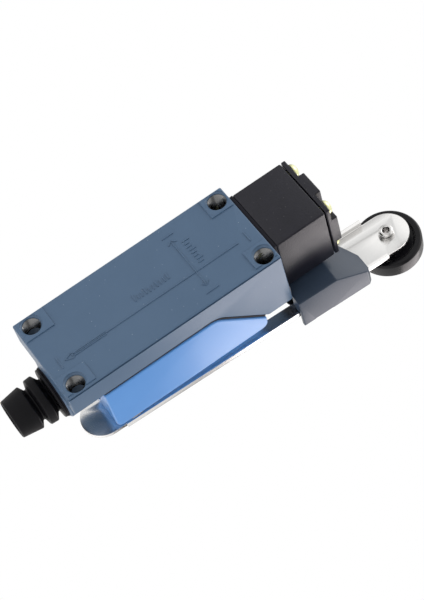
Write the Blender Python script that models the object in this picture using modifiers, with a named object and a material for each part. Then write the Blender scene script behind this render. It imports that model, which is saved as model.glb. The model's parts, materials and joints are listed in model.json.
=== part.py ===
"""Adjustable roller lever limit switch, modelled as the separate pieces it comes apart into.

Frame: metres, +Z up. The origin is the centre of the four mounting holes on the back face.
The back face looks along +Y, the cover and the lever are on the -Y side, the head is on top.
The lever arm is drawn in its own frame, whose origin is the shaft's axis, and an empty tilts it.
"""
import math

import bmesh
import bpy
from mathutils import Matrix, Vector

MM = 0.001
GAP = 0.25 * MM

# Driving dimensions: the die-cast body and its cover
BODY_HALF_WIDTH = 13.55 * MM
BODY_TOP = 31.1 * MM
BODY_BOTTOM = -31.9 * MM
BODY_DEPTH = 20.2 * MM
TRAY_DEPTH = 7.4 * MM
SEAM_BEND_RADIUS = 6.0 * MM
SEAM_BEND_Z = 8.0 * MM
SEAM_BEND_ANGLE = math.radians(44.0)
HOLE_X = 10.5 * MM
HOLE_Z = 28.0 * MM
HOLE_RADIUS = 2.15 * MM
UPPER_HOLE_DEPTH = 10.0 * MM
LOWER_HOLE_DEPTH = 5.8 * MM
COVER_HALF_WIDTH = 13.5 * MM
COVER_FRONT = 24.4 * MM
COVER_BOTTOM = -23.4 * MM
COVER_TOP = 22.9 * MM
COVER_WALL = 1.75 * MM
COVER_CORNER = 2.0 * MM
COVER_SCREW_SEAT = 23.6 * MM
COVER_SCREWS = ((-8.8 * MM, -18.2 * MM), (8.8 * MM, 19.8 * MM))
COVER_SCREW_TIP = -11.5 * MM
COVER_POST_RADIUS = 2.6 * MM
COVER_POST_FRONT = -22.2 * MM
GASKET_THICKNESS = 0.5 * MM

# The compartment behind the cover, and the wall the actuating plunger passes through
ROOM_HALF_WIDTH = 11.2 * MM
ROOM_FLOOR = 2.6 * MM
ROOM_BOTTOM = -21.4 * MM
ROOM_TOP = 17.8 * MM
GUIDE_RADIUS = 2.5 * MM
SCREW_WAY = 1.5 * MM

# The cable entry
ENTRY_Y = -14.5 * MM
ENTRY_RADIUS = 7.8 * MM
ENTRY_BORE = 5.4 * MM
CABLE_BORE = 3.6 * MM
SADDLE_HALF_WIDTH = 6.0 * MM
SADDLE_BACK = -5.0 * MM

# The head
HEAD_HALF_WIDTH = 9.9 * MM
HEAD_BACK = -0.8 * MM
HEAD_FRONT = -19.9 * MM
HEAD_BOTTOM = 32.2 * MM
HEAD_TOP = 46.9 * MM
CAP_TOP = 50.0 * MM
CAP_SHOULDER = 48.4 * MM
HEAD_SCREW_X = 7.2 * MM
HEAD_SCREW_Y = (-3.1 * MM, -17.6 * MM)
HEAD_SCREW_TIP = 24.0 * MM
CAVE_HALF_WIDTH = 5.5 * MM
CAVE_BACK = -3.2 * MM
CAVE_FRONT = -16.6 * MM
CAVE_BOTTOM = 34.6 * MM
CAP_ARM_HALF_WIDTH = 3.7 * MM
CAP_ARM_BACK = -5.3 * MM
CAP_ARM_FRONT = -15.3 * MM
PLUNGER_Y = -10.0 * MM
PLUNGER_RADIUS = 2.2 * MM

# The shaft and the lever arm. Arm dimensions are measured from the shaft's axis
SHAFT_Z = 40.0 * MM
SHAFT_RADIUS = 3.0 * MM
SHAFT_BACK = -2.0 * MM
SHAFT_TIP = -26.3 * MM
BUSH_RADIUS = 5.0 * MM
BUSH_BORE = 5.3 * MM
CAM_RADIUS = 5.0 * MM
CAM_FLAT = 3.8 * MM
ARM_TILT = math.radians(-1.9)
CLAMP_LEFT = -15.8 * MM
CLAMP_TOP = 13.3 * MM
CLAMP_BOTTOM = -8.1 * MM
CLAMP_BACK = -21.0 * MM
CLAMP_PLATE_FRONT = -26.4 * MM
CLAMP_FRONT = -31.8 * MM
BOSS_RADIUS = 6.6 * MM
STRIP_X = -7.6 * MM
STRIP_HALF_WIDTH = 7.0 * MM
STRIP_SHEET = 1.0 * MM
STRIP_BACK = -28.1 * MM
STRIP_FLANGE_TIP = -26.7 * MM
STRIP_BOTTOM_CENTRE = -64.1 * MM
STRIP_TOP_CENTRE = 23.4 * MM
FLANGE_BOTTOM = -60.5 * MM
FLANGE_TOP = 19.6 * MM
SLOT_HALF_WIDTH = 2.7 * MM
SLOT_BOTTOM = -59.0 * MM
SLOT_TOP = 2.0 * MM
BOLT_Z = -4.2 * MM
BOLT_RADIUS = 1.7 * MM
EAR_END = 11.2 * MM
EAR_HALF_HEIGHT = 4.4 * MM
CLAMP_SCREW_X = 8.3 * MM
CLAMP_SCREW_Y = -23.7 * MM
ROLLER_RADIUS = 9.0 * MM
ROLLER_BACK = -30.8 * MM
ROLLER_FRONT = -35.6 * MM
RIVET_RADIUS = 1.5 * MM
RIVET_BORE = 0.9 * MM
RIVET_FLARE_BACK = 26.6 * MM
RIVET_HEAD_FRONT = 36.6 * MM

# The snap switch inside the compartment
BLOCK_HALF_WIDTH = 9.8 * MM
BLOCK_BACK = -2.9 * MM
BLOCK_FRONT = -12.0 * MM
BLOCK_BOTTOM = -12.0 * MM
BLOCK_TOP = 15.5 * MM
CHAMBER_HALF_WIDTH = 5.6 * MM
CHAMBER_BACK = -5.0 * MM
CHAMBER_BOTTOM = -1.5 * MM
CHAMBER_TOP = 13.5 * MM
CONTACT_Y = -8.4 * MM
UPPER_CONTACT_Z = 11.3 * MM
LOWER_CONTACT_Z = 6.1 * MM
BRIDGE_BOTTOM = 8.9 * MM
BRIDGE_TOP = 9.7 * MM
BUTTON_TOP = 17.0 * MM
PLUNGER_BOTTOM = 17.4 * MM
TERMINAL_X = 7.6 * MM
BLOCK_SCREWS = ((-6.0 * MM, -8.0 * MM), (6.0 * MM, -8.0 * MM))
GROUND_SCREW = (6.0 * MM, -17.0 * MM)
FLOOR_SCREW_TIP = -1.4 * MM

ROUND_STEPS = 32
SMALL_STEPS = 20
SHARP_ANGLE = math.radians(35.0)
WELD = 0.00001
THROUGH = 60.0 * MM

# Turns that lay a flat outline, drawn in XY and thickened along Z, into the model
FACING_X = (math.radians(90.0), 0.0, math.radians(90.0))
FACING_Y = (math.radians(90.0), 0.0, 0.0)
FACING_Z = (0.0, 0.0, 0.0)

for old in list(bpy.data.objects):
    bpy.data.objects.remove(old, do_unlink=True)

scene = bpy.context.scene
parts = bpy.data.collections.new("limit_switch")
cutters = bpy.data.collections.new("cutters")
scene.collection.children.link(parts)
scene.collection.children.link(cutters)


def finish(name, color, roughness, metallic=0.0):
    """Make one Principled material."""
    material = bpy.data.materials.new(name)
    material.use_nodes = True
    shader = material.node_tree.nodes["Principled BSDF"]
    shader.inputs["Base Color"].default_value = (*color, 1.0)
    shader.inputs["Roughness"].default_value = roughness
    shader.inputs["Metallic"].default_value = metallic
    return material


GREY_PAINT = ("grey_paint", (0.16, 0.21, 0.28), 0.42, 0.0)
BLUE_PLASTIC = ("blue_plastic", (0.12, 0.30, 0.62), 0.35, 0.0)
BLACK_PLASTIC = ("black_plastic", (0.03, 0.035, 0.05), 0.5, 0.0)
BROWN_PLASTIC = ("brown_plastic", (0.12, 0.06, 0.03), 0.5, 0.0)
CLEAR_PLASTIC = ("smoke_plastic", (0.5, 0.45, 0.38), 0.2, 0.0)
RED_PLASTIC = ("red_plastic", (0.6, 0.04, 0.03), 0.4, 0.0)
BLACK_RUBBER = ("black_rubber", (0.015, 0.015, 0.017), 0.6, 0.0)
STEEL = ("steel", (0.72, 0.72, 0.72), 0.25, 1.0)
DARK_STEEL = ("dark_steel", (0.05, 0.05, 0.05), 0.4, 1.0)
ZINC = ("yellow_zinc", (0.78, 0.68, 0.38), 0.3, 1.0)
BRASS = ("brass", (0.80, 0.60, 0.28), 0.3, 1.0)
BRONZE = ("bronze", (0.55, 0.35, 0.18), 0.4, 1.0)
SPRING_WIRE = ("spring_wire", (0.6, 0.6, 0.6), 0.3, 1.0)
BLACK_NYLON = ("black_nylon", (0.02, 0.02, 0.02), 0.4, 0.0)


def pivot(name, place, turn_y=0.0, parent=None):
    """An empty on a joint's axis, which its moving pieces are parented to."""
    empty = bpy.data.objects.new(name, None)
    empty.empty_display_size = 5.0 * MM
    empty.location = place
    empty.rotation_euler = (0.0, turn_y, 0.0)
    empty.parent = parent
    parts.objects.link(empty)
    return empty


def settle(obj, parent=None):
    """Hang an object on its pivot and bring its world matrix up to date."""
    obj.parent = parent
    bpy.context.view_layer.update()
    return obj


def add_mesh(name, bm, parent=None, place=(0.0, 0.0, 0.0), turn=FACING_Z):
    """Turn a bmesh into an object of the model."""
    mesh = bpy.data.meshes.new(name)
    bm.to_mesh(mesh)
    bm.free()
    obj = bpy.data.objects.new(name, mesh)
    obj.location = place
    obj.rotation_euler = turn
    parts.objects.link(obj)
    return settle(obj, parent)


def box(name, low, high, parent=None):
    """A block between two corners."""
    size = [h - l for l, h in zip(low, high)]
    middle = [(h + l) / 2.0 for l, h in zip(low, high)]
    bm = bmesh.new()
    bmesh.ops.create_cube(bm, size=1.0)
    bmesh.ops.scale(bm, vec=size, verts=bm.verts)
    return add_mesh(name, bm, parent, middle)


def turn_for(axis):
    """The turn that lays a Z cylinder along an axis."""
    return {"X": (0.0, math.radians(90.0), 0.0), "Y": (math.radians(90.0), 0.0, 0.0), "Z": FACING_Z}[axis]


def cylinder(name, axis, start, end, radius, parent=None, steps=SMALL_STEPS, end_radius=None):
    """A round bar or cone between two points on one axis."""
    a = Vector(start)
    b = Vector(end)
    top_radius = radius if end_radius is None else end_radius
    bm = bmesh.new()
    bmesh.ops.create_cone(bm, cap_ends=True, segments=steps, radius1=radius, radius2=top_radius,
                          depth=(b - a).length)
    direction = {"X": Vector((1, 0, 0)), "Y": Vector((0, -1, 0)), "Z": Vector((0, 0, 1))}[axis]
    if (b - a).dot(direction) < 0.0:
        bmesh.ops.rotate(bm, verts=bm.verts, matrix=Matrix.Rotation(math.pi, 3, "X"))
    return add_mesh(name, bm, parent, (a + b) / 2.0, turn_for(axis))


def curve_to_mesh(curve, parent=None):
    """Replace a curve object by its mesh, with the caps welded on."""
    bpy.context.view_layer.update()
    graph = bpy.context.evaluated_depsgraph_get()
    mesh = bpy.data.meshes.new_from_object(curve.evaluated_get(graph))
    bm = bmesh.new()
    bm.from_mesh(mesh)
    bmesh.ops.remove_doubles(bm, verts=bm.verts, dist=WELD)
    bmesh.ops.recalc_face_normals(bm, faces=bm.faces)
    bm.to_mesh(mesh)
    bm.free()
    name = curve.name
    matrix = curve.matrix_world.copy()
    bpy.data.objects.remove(curve, do_unlink=True)
    mesh.name = name
    obj = bpy.data.objects.new(name, mesh)
    obj.matrix_world = matrix
    parts.objects.link(obj)
    return settle(obj, parent)


def plate(name, outline, low, high, facing, parent=None):
    """A flat outline thickened from low to high along the direction it faces."""
    data = bpy.data.curves.new(name, "CURVE")
    data.dimensions = "2D"
    data.fill_mode = "BOTH"
    data.extrude = abs(high - low) / 2.0
    spline = data.splines.new("POLY")
    spline.points.add(len(outline) - 1)
    for point, (u, v) in zip(spline.points, outline):
        point.co = (u, v, 0.0, 1.0)
    spline.use_cyclic_u = True
    curve = bpy.data.objects.new(name, data)
    middle = (low + high) / 2.0
    curve.rotation_euler = facing
    curve.location = {FACING_X: (middle, 0.0, 0.0), FACING_Y: (0.0, middle, 0.0),
                      FACING_Z: (0.0, 0.0, middle)}[facing]
    parts.objects.link(curve)
    return curve_to_mesh(curve, parent)


def turned(name, profile, axis, place, parent=None, steps=ROUND_STEPS):
    """A turned piece. The profile is (radius, height) pairs, down the outer side first."""
    bm = bmesh.new()
    verts = [bm.verts.new((radius, 0.0, height)) for radius, height in profile]
    ring = verts if profile[0][0] == 0.0 else verts + verts[:1]
    for first, second in zip(ring, ring[1:]):
        bm.edges.new((first, second))
    obj = add_mesh(name, bm, parent, place, turn_for(axis))
    screw = obj.modifiers.new("Turning", "SCREW")
    screw.axis = "Z"
    screw.angle = math.tau
    screw.steps = steps
    screw.render_steps = steps
    screw.use_merge_vertices = True
    screw.merge_threshold = WELD
    return obj


def coil(name, axis, centre, start, end, radius, wire, turns, parent=None, points_per_turn=12):
    """A coil spring: one helix of round wire."""
    data = bpy.data.curves.new(name, "CURVE")
    data.dimensions = "3D"
    data.bevel_depth = wire
    data.bevel_resolution = 2
    data.use_fill_caps = True
    count = int(turns * points_per_turn) + 1
    spline = data.splines.new("POLY")
    spline.points.add(count - 1)
    for index, point in enumerate(spline.points):
        share = index / (count - 1)
        angle = math.tau * turns * share
        along = start + (end - start) * share
        a = radius * math.cos(angle)
        b = radius * math.sin(angle)
        spot = (centre[0] + a, along, centre[1] + b) if axis == "Y" else (centre[0] + a, centre[1] + b, along)
        point.co = (*spot, 1.0)
    curve = bpy.data.objects.new(name, data)
    parts.objects.link(curve)
    return curve_to_mesh(curve, parent)


def as_cutter(obj):
    """Move a shape to the cutters, where it is drawn as wire and left out of the model."""
    parts.objects.unlink(obj)
    cutters.objects.link(obj)
    obj.hide_render = True
    obj.display_type = "WIRE"
    return obj


def combine(target, tools, operation):
    """Join shapes to a piece, or cut them out of it."""
    for tool in tools:
        as_cutter(tool)
        step = target.modifiers.new(operation.title(), "BOOLEAN")
        step.operation = operation
        step.object = tool
        step.solver = "EXACT"
    return target


def cut(target, *tools):
    return combine(target, tools, "DIFFERENCE")


def join(target, *tools):
    return combine(target, tools, "UNION")


def dress(obj, look):
    """Give a piece its material and smooth its round sides."""
    name, color, roughness, metallic = look
    material = bpy.data.materials.get(name) or finish(name, color, roughness, metallic)
    obj.data.materials.clear()
    obj.data.materials.append(material)
    obj.data.shade_smooth()
    obj.data.set_sharp_from_angle(angle=SHARP_ANGLE)
    return obj


def arc(centre, radius, start, end, count):
    """Points on an arc, both ends included."""
    steps = [start + (end - start) * k / (count - 1) for k in range(count)]
    return [(centre[0] + radius * math.cos(a), centre[1] + radius * math.sin(a)) for a in steps]


# --- the body and the cover ------------------------------------------------------------------

def seam(offset, front):
    """The joint between body and cover in (y, z), from the bend up to a given front depth."""
    centre = (-(TRAY_DEPTH + SEAM_BEND_RADIUS), SEAM_BEND_Z)
    radius = SEAM_BEND_RADIUS - offset
    bend = arc(centre, radius, 0.0, SEAM_BEND_ANGLE, 6)
    last_y, last_z = bend[-1]
    run = (front + last_y) / math.sin(SEAM_BEND_ANGLE)
    return bend + [(-front, last_z + run * math.cos(SEAM_BEND_ANGLE))]


def entry_clearance(name, growth):
    """The cable entry's round boss with a parallel way out towards the back."""
    radius = ENTRY_RADIUS + growth
    low = BODY_BOTTOM - 5.0 * MM
    high = ROOM_BOTTOM + 1.0 * MM
    barrel = cylinder(name + "_barrel", "Z", (0, ENTRY_Y, low), (0, ENTRY_Y, high), radius,
                      steps=ROUND_STEPS)
    way = box(name + "_way", (-radius, ENTRY_Y, low), (radius, 5.0 * MM, high))
    return barrel, way


def make_housing():
    """The die-cast body: a shallow tray at the bottom, a full-depth block under the head."""
    top_face = seam(0.0, BODY_DEPTH)
    outline = [(0.0, BODY_BOTTOM), (0.0, BODY_TOP), (-BODY_DEPTH, BODY_TOP)]
    outline += list(reversed(top_face))
    outline.append((-TRAY_DEPTH, BODY_BOTTOM))
    body = plate("housing", outline, -BODY_HALF_WIDTH, BODY_HALF_WIDTH, FACING_X)
    saddle = box("entry_saddle", (-SADDLE_HALF_WIDTH, ENTRY_Y, BODY_BOTTOM),
                 (SADDLE_HALF_WIDTH, SADDLE_BACK, ROOM_BOTTOM))
    barrel = cylinder("entry_barrel", "Z", (0, ENTRY_Y, BODY_BOTTOM), (0, ENTRY_Y, ROOM_BOTTOM),
                      ENTRY_RADIUS, steps=ROUND_STEPS)
    join(body, saddle, barrel)
    room = box("room", (-ROOM_HALF_WIDTH, -THROUGH, ROOM_BOTTOM), (ROOM_HALF_WIDTH, -ROOM_FLOOR, ROOM_TOP))
    bore = cylinder("entry_bore", "Z", (0, ENTRY_Y, BODY_BOTTOM - THROUGH), (0, ENTRY_Y, 0), ENTRY_BORE)
    guide = cylinder("plunger_guide", "Z", (0, PLUNGER_Y, 15 * MM), (0, PLUNGER_Y, 40 * MM), GUIDE_RADIUS)
    cut(body, room)
    post_x, post_z = COVER_SCREWS[0]
    post = cylinder("cover_post", "Y", (post_x, -ROOM_FLOOR + 1.0 * MM, post_z),
                    (post_x, COVER_POST_FRONT, post_z), COVER_POST_RADIUS)
    join(body, post)
    cut(body, bore, guide)
    cut(body, *housing_holes())
    return dress(body, GREY_PAINT)


def housing_holes():
    """The drills for the mounting holes, the head screws, the cover screws and the floor screws."""
    holes = []
    for side in (-1, 1):
        x = side * HOLE_X
        for z, depth in ((HOLE_Z, UPPER_HOLE_DEPTH), (-HOLE_Z, LOWER_HOLE_DEPTH)):
            holes.append(cylinder("mounting_hole", "Y", (x, 1.0 * MM, z), (x, -depth, z), HOLE_RADIUS))
        x = side * HEAD_SCREW_X
        for y in HEAD_SCREW_Y:
            holes.append(cylinder("head_screw_hole", "Z", (x, y, HEAD_SCREW_TIP - 0.5 * MM),
                                  (x, y, 40.0 * MM), SCREW_WAY))
    for x, z in COVER_SCREWS:
        holes.append(cylinder("cover_screw_hole", "Y", (x, COVER_SCREW_TIP + 0.5 * MM, z),
                              (x, -40.0 * MM, z), SCREW_WAY))
    for x, z in BLOCK_SCREWS + (GROUND_SCREW,):
        holes.append(cylinder("floor_hole", "Y", (x, -1.0 * MM, z), (x, -4.0 * MM, z), 1.4 * MM))
    return holes


def make_cover():
    """The deep cover: its side edges follow the seam, its bottom end straddles the cable entry."""
    seam_edge = seam(GASKET_THICKNESS + 2.0 * GAP, BODY_DEPTH + 0.8 * MM)
    middle_y = -COVER_FRONT + COVER_CORNER
    lower = arc((middle_y, COVER_BOTTOM + COVER_CORNER), COVER_CORNER, math.radians(270), math.radians(180), 5)
    upper = arc((middle_y, COVER_TOP - COVER_CORNER), COVER_CORNER, math.radians(180), math.radians(90), 5)
    edge = [point for point in seam_edge if point[1] < COVER_TOP - 0.2 * MM]
    last_y, last_z = edge[-1]
    crest_y = last_y - (COVER_TOP - last_z) * math.tan(SEAM_BEND_ANGLE)
    outline = lower + upper + [(crest_y, COVER_TOP)] + list(reversed(edge))
    outline.append((edge[0][0], COVER_BOTTOM))
    shell = plate("cover", outline, -COVER_HALF_WIDTH, COVER_HALF_WIDTH, FACING_X)
    inside = COVER_HALF_WIDTH - COVER_WALL
    hollow = box("cover_hollow", (-inside, -COVER_FRONT + COVER_WALL, COVER_BOTTOM + COVER_WALL),
                 (inside, 5.0 * MM, COVER_TOP - COVER_WALL))
    cut(shell, hollow, *entry_clearance("cover_entry", GAP))
    for x, z in COVER_SCREWS:
        cut(shell, cylinder("cover_screw_way", "Y", (x, -15.0 * MM, z), (x, -THROUGH, z), SCREW_WAY),
            cylinder("cover_screw_seat", "Y", (x, -COVER_SCREW_SEAT, z), (x, -THROUGH, z), COVER_POST_RADIUS))
    return dress(shell, BLUE_PLASTIC)


def make_cover_gasket():
    """The rubber strip that follows the seam on both sides and returns at its two ends."""
    inner = seam(GAP, BODY_DEPTH - 0.4 * MM)
    outer = seam(GAP + GASKET_THICKNESS, BODY_DEPTH - 0.1 * MM)
    bottom = COVER_BOTTOM + 0.2 * MM
    outline = [(inner[0][0], bottom)] + inner + list(reversed(outer)) + [(outer[0][0], bottom)]
    half = COVER_HALF_WIDTH - 0.3 * MM
    band = plate("cover_gasket", outline, -half, half, FACING_X)
    opening = box("gasket_opening", (-11.65 * MM, -THROUGH, ROOM_BOTTOM), (11.65 * MM, 0.0, 21.5 * MM))
    cut(band, opening, *entry_clearance("gasket_entry", GAP))
    return dress(band, BLACK_RUBBER)


def pan_screw(name, axis, seat, tip, head_radius, head_height, shank_radius, look):
    """A pan head screw: seat is the point under its head, tip is the shank's end."""
    length = (Vector(tip) - Vector(seat)).length
    profile = [(0.0, head_height), (head_radius * 0.6, head_height), (head_radius, head_height * 0.6),
               (head_radius, 0.0), (shank_radius, 0.0), (shank_radius, -length + shank_radius * 0.5),
               (shank_radius * 0.5, -length), (0.0, -length)]
    screw = turned(name, profile, axis, seat, None, SMALL_STEPS)
    slot_low = head_height * 0.55
    width = head_radius * 0.2
    reach = head_radius * 0.62
    top = head_height + 1.0 * MM
    x, y, z = seat
    if axis == "Z":
        a = box(name + "_slot_a", (x - width, y - reach, z + slot_low), (x + width, y + reach, z + top))
        b = box(name + "_slot_b", (x - reach, y - width, z + slot_low), (x + reach, y + width, z + top))
    else:
        a = box(name + "_slot_a", (x - width, y - top, z - reach), (x + width, y - slot_low, z + reach))
        b = box(name + "_slot_b", (x - reach, y - top, z - width), (x + reach, y - slot_low, z + width))
    cut(screw, a, b)
    return dress(screw, look)


def make_cover_screws():
    for index, (x, z) in enumerate(COVER_SCREWS, start=1):
        seat = (x, -COVER_SCREW_SEAT - GAP, z)
        tip = (x, COVER_SCREW_TIP, z)
        pan_screw(f"cover_screw_{index}", "Y", seat, tip, 2.2 * MM, 1.4 * MM, 1.2 * MM, STEEL)


# --- the cable entry -------------------------------------------------------------------------

def make_gland():
    """Threaded gland body with its collar, a sealing washer and the bellows cable grip."""
    low = BODY_BOTTOM
    place = (0.0, ENTRY_Y, 0.0)
    body = [(5.1 * MM, ROOM_BOTTOM + 1.5 * MM), (5.1 * MM, low - 0.5 * MM), (7.4 * MM, low - 0.5 * MM),
            (7.1 * MM, low - 1.9 * MM), (CABLE_BORE, low - 1.9 * MM), (CABLE_BORE, ROOM_BOTTOM + 1.5 * MM)]
    dress(turned("gland_body", body, "Z", place, steps=24), BLACK_PLASTIC)
    washer = [(7.2 * MM, low - 0.05 * MM), (7.2 * MM, low - 0.4 * MM), (5.5 * MM, low - 0.4 * MM),
              (5.5 * MM, low - 0.05 * MM)]
    dress(turned("gland_washer", washer, "Z", place, steps=24), BLACK_RUBBER)
    top = low - 2.2 * MM
    grip = [(5.0 * MM, top), (5.2 * MM, top - 0.4 * MM), (7.0 * MM, top - 0.9 * MM), (6.8 * MM, top - 2.9 * MM),
            (4.7 * MM, top - 3.8 * MM), (4.7 * MM, top - 4.2 * MM), (6.3 * MM, top - 4.9 * MM),
            (5.6 * MM, top - 10.5 * MM), (4.4 * MM, top - 10.5 * MM), (4.2 * MM, top - 9.9 * MM),
            (CABLE_BORE, top - 9.3 * MM), (CABLE_BORE, top)]
    dress(turned("cable_grip", grip, "Z", place, steps=28), BLACK_RUBBER)


# --- the head --------------------------------------------------------------------------------

def make_head():
    """The black head: a box that carries the shaft, open on top for its cap."""
    head = box("head_housing", (-HEAD_HALF_WIDTH, HEAD_FRONT, HEAD_BOTTOM),
               (HEAD_HALF_WIDTH, HEAD_BACK, HEAD_TOP))
    cave = box("head_cave", (-CAVE_HALF_WIDTH, CAVE_FRONT, CAVE_BOTTOM), (CAVE_HALF_WIDTH, CAVE_BACK, THROUGH))
    bore = cylinder("bush_bore", "Y", (0, PLUNGER_Y, SHAFT_Z), (0, -THROUGH, SHAFT_Z), BUSH_BORE)
    blind = cylinder("rear_bearing", "Y", (0, SHAFT_BACK + 0.3 * MM, SHAFT_Z), (0, -5 * MM, SHAFT_Z),
                     SHAFT_RADIUS + GAP)
    guide = cylinder("head_guide", "Z", (0, PLUNGER_Y, 30 * MM), (0, PLUNGER_Y, 36 * MM), GUIDE_RADIUS)
    cut(head, cave, bore, blind, guide)
    for x in (-HEAD_SCREW_X, HEAD_SCREW_X):
        for y in HEAD_SCREW_Y:
            cut(head, cylinder("head_screw_way", "Z", (x, y, 30 * MM), (x, y, THROUGH), SCREW_WAY))
    return dress(head, BLACK_PLASTIC)


def make_head_cap():
    """The head's cap: a plate whose raised cross leaves a low corner for each screw."""
    seat = HEAD_TOP + GAP
    cap = box("head_cap", (-HEAD_HALF_WIDTH, HEAD_FRONT, seat), (HEAD_HALF_WIDTH, HEAD_BACK, CAP_TOP))
    for side in (-1, 1):
        low_x, high_x = sorted((side * CAP_ARM_HALF_WIDTH, side * 20 * MM))
        cut(cap, box("cap_corner", (low_x, CAP_ARM_BACK, CAP_SHOULDER), (high_x, 5 * MM, THROUGH)),
            box("cap_corner", (low_x, -30 * MM, CAP_SHOULDER), (high_x, CAP_ARM_FRONT, THROUGH)))
        x = side * HEAD_SCREW_X
        for y in HEAD_SCREW_Y:
            cut(cap, cylinder("cap_screw_way", "Z", (x, y, 40 * MM), (x, y, THROUGH), SCREW_WAY))
    return dress(cap, BLACK_PLASTIC)


def make_head_screws():
    number = 1
    for x in (-HEAD_SCREW_X, HEAD_SCREW_X):
        for y in HEAD_SCREW_Y:
            pan_screw(f"head_screw_{number}", "Z", (x, y, CAP_SHOULDER + GAP), (x, y, HEAD_SCREW_TIP),
                      2.0 * MM, 1.4 * MM, 1.2 * MM, ZINC)
            number += 1


def make_head_gasket():
    low = BODY_TOP + GAP
    gasket = box("head_gasket", (-9.4 * MM, -19.4 * MM, low), (9.4 * MM, -1.3 * MM, HEAD_BOTTOM - GAP))
    cut(gasket, cylinder("gasket_guide", "Z", (0, PLUNGER_Y, 25 * MM), (0, PLUNGER_Y, 40 * MM), GUIDE_RADIUS))
    for x in (-HEAD_SCREW_X, HEAD_SCREW_X):
        for y in HEAD_SCREW_Y:
            cut(gasket, cylinder("gasket_way", "Z", (x, y, 25 * MM), (x, y, 40 * MM), SCREW_WAY))
    return dress(gasket, BLACK_RUBBER)


def ring(name, y_back, y_front, inner, outer, look, parent=None, centre=(0.0, SHAFT_Z), steps=24):
    """A plain ring around a Y axis."""
    half = (y_back - y_front) / 2.0
    profile = [(outer, half), (outer, -half), (inner, -half), (inner, half)]
    middle = (centre[0], (y_back + y_front) / 2.0, centre[1])
    return dress(turned(name, profile, "Y", middle, parent, steps), look)


def make_shaft(shaft_pivot):
    """The steel lever shaft, with the cam and the return spring it carries in the head."""
    shaft = cylinder("shaft", "Y", (0, SHAFT_BACK, 0), (0, SHAFT_TIP, 0), SHAFT_RADIUS, shaft_pivot, 28)
    dress(shaft, STEEL)
    half_flat = math.acos(CAM_FLAT / CAM_RADIUS)
    down = -math.pi / 2.0
    lobe = arc((0.0, 0.0), CAM_RADIUS, down + half_flat, down + math.tau - half_flat, 26)
    cam = plate("cam", lobe, -13.0 * MM, -7.0 * MM, FACING_Y, shaft_pivot)
    cut(cam, cylinder("cam_bore", "Y", (0, 0, SHAFT_Z), (0, -20 * MM, SHAFT_Z), SHAFT_RADIUS + GAP, steps=28))
    dress(cam, DARK_STEEL)
    spring = coil("return_spring", "Y", (0.0, 0.0), -13.9 * MM, -15.8 * MM, 4.1 * MM, 0.4 * MM, 2.0,
                  shaft_pivot, 18)
    dress(spring, SPRING_WIRE)


def make_shaft_bearing():
    bore = SHAFT_RADIUS + 0.05 * MM
    ring("shaft_bush", -16.9 * MM, -18.6 * MM, bore, BUSH_RADIUS, BRONZE, steps=28)
    ring("shaft_seal", -18.9 * MM, -19.7 * MM, bore, BUSH_RADIUS, BLACK_RUBBER, steps=28)


def make_plunger():
    """The rod under the cam. It stands where the cam's lobe just clears it at every angle."""
    top = SHAFT_Z - CAM_RADIUS - GAP
    low = PLUNGER_BOTTOM
    place = (0.0, PLUNGER_Y, low)
    height = top - low
    radius = PLUNGER_RADIUS
    profile = [(0.0, height), (radius - 0.6 * MM, height), (radius, height - 0.6 * MM), (radius, 0.5 * MM),
               (radius - 0.5 * MM, 0.0), (0.0, 0.0)]
    dress(turned("plunger", profile, "Z", place, steps=SMALL_STEPS), STEEL)


# --- the snap switch in the compartment ------------------------------------------------------

def make_switch_block():
    """Moulded base with its contact chamber, and the clear plate that closes the chamber."""
    base = box("switch_base", (-BLOCK_HALF_WIDTH, BLOCK_FRONT, BLOCK_BOTTOM),
               (BLOCK_HALF_WIDTH, BLOCK_BACK, BLOCK_TOP))
    chamber = box("chamber", (-CHAMBER_HALF_WIDTH, -THROUGH, CHAMBER_BOTTOM),
                  (CHAMBER_HALF_WIDTH, CHAMBER_BACK, CHAMBER_TOP))
    stem_way = cylinder("stem_way", "Z", (0, CONTACT_Y, 10 * MM), (0, CONTACT_Y, 30 * MM), 1.8 * MM)
    cut(base, chamber, stem_way)
    for x, z in BLOCK_SCREWS:
        cut(base, cylinder("block_way", "Y", (x, 5 * MM, z), (x, -THROUGH, z), SCREW_WAY))
    for x in (-TERMINAL_X, TERMINAL_X):
        for z in (UPPER_CONTACT_Z, LOWER_CONTACT_Z):
            cut(base, cylinder("terminal_hole", "Y", (x, -8.0 * MM, z), (x, -30 * MM, z), 1.3 * MM))
    dress(base, BROWN_PLASTIC)
    lap = 1.4 * MM
    window = box("switch_window", (-4.2 * MM, BLOCK_FRONT - GAP - 1.0 * MM, CHAMBER_BOTTOM - lap),
                 (4.2 * MM, BLOCK_FRONT - GAP, CHAMBER_TOP + lap))
    dress(window, CLEAR_PLASTIC)


def make_terminals():
    """Four bent terminal plates, each ending in a fixed contact, with their clamping screws."""
    outline = [(9.5, -12.3), (9.5, -13.1), (4.5, -13.1), (4.5, -8.8), (2.4, -8.8), (2.4, -8.0), (5.3, -8.0),
               (5.3, -12.3)]
    number = 1
    for side in (-1, 1):
        flat = [(side * u * MM, v * MM) for u, v in outline]
        for z in (UPPER_CONTACT_Z, LOWER_CONTACT_Z):
            strip = plate(f"terminal_{number}", flat, z - 1.2 * MM, z + 1.2 * MM, FACING_Z)
            x = side * TERMINAL_X
            cut(strip, cylinder("terminal_hole", "Y", (x, -8 * MM, z), (x, -30 * MM, z), 1.15 * MM))
            dress(strip, BRASS)
            pan_screw(f"terminal_screw_{number}", "Y", (x, -13.4 * MM, z), (x, -8.4 * MM, z),
                      1.8 * MM, 1.2 * MM, 0.85 * MM, STEEL)
            number += 1


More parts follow.
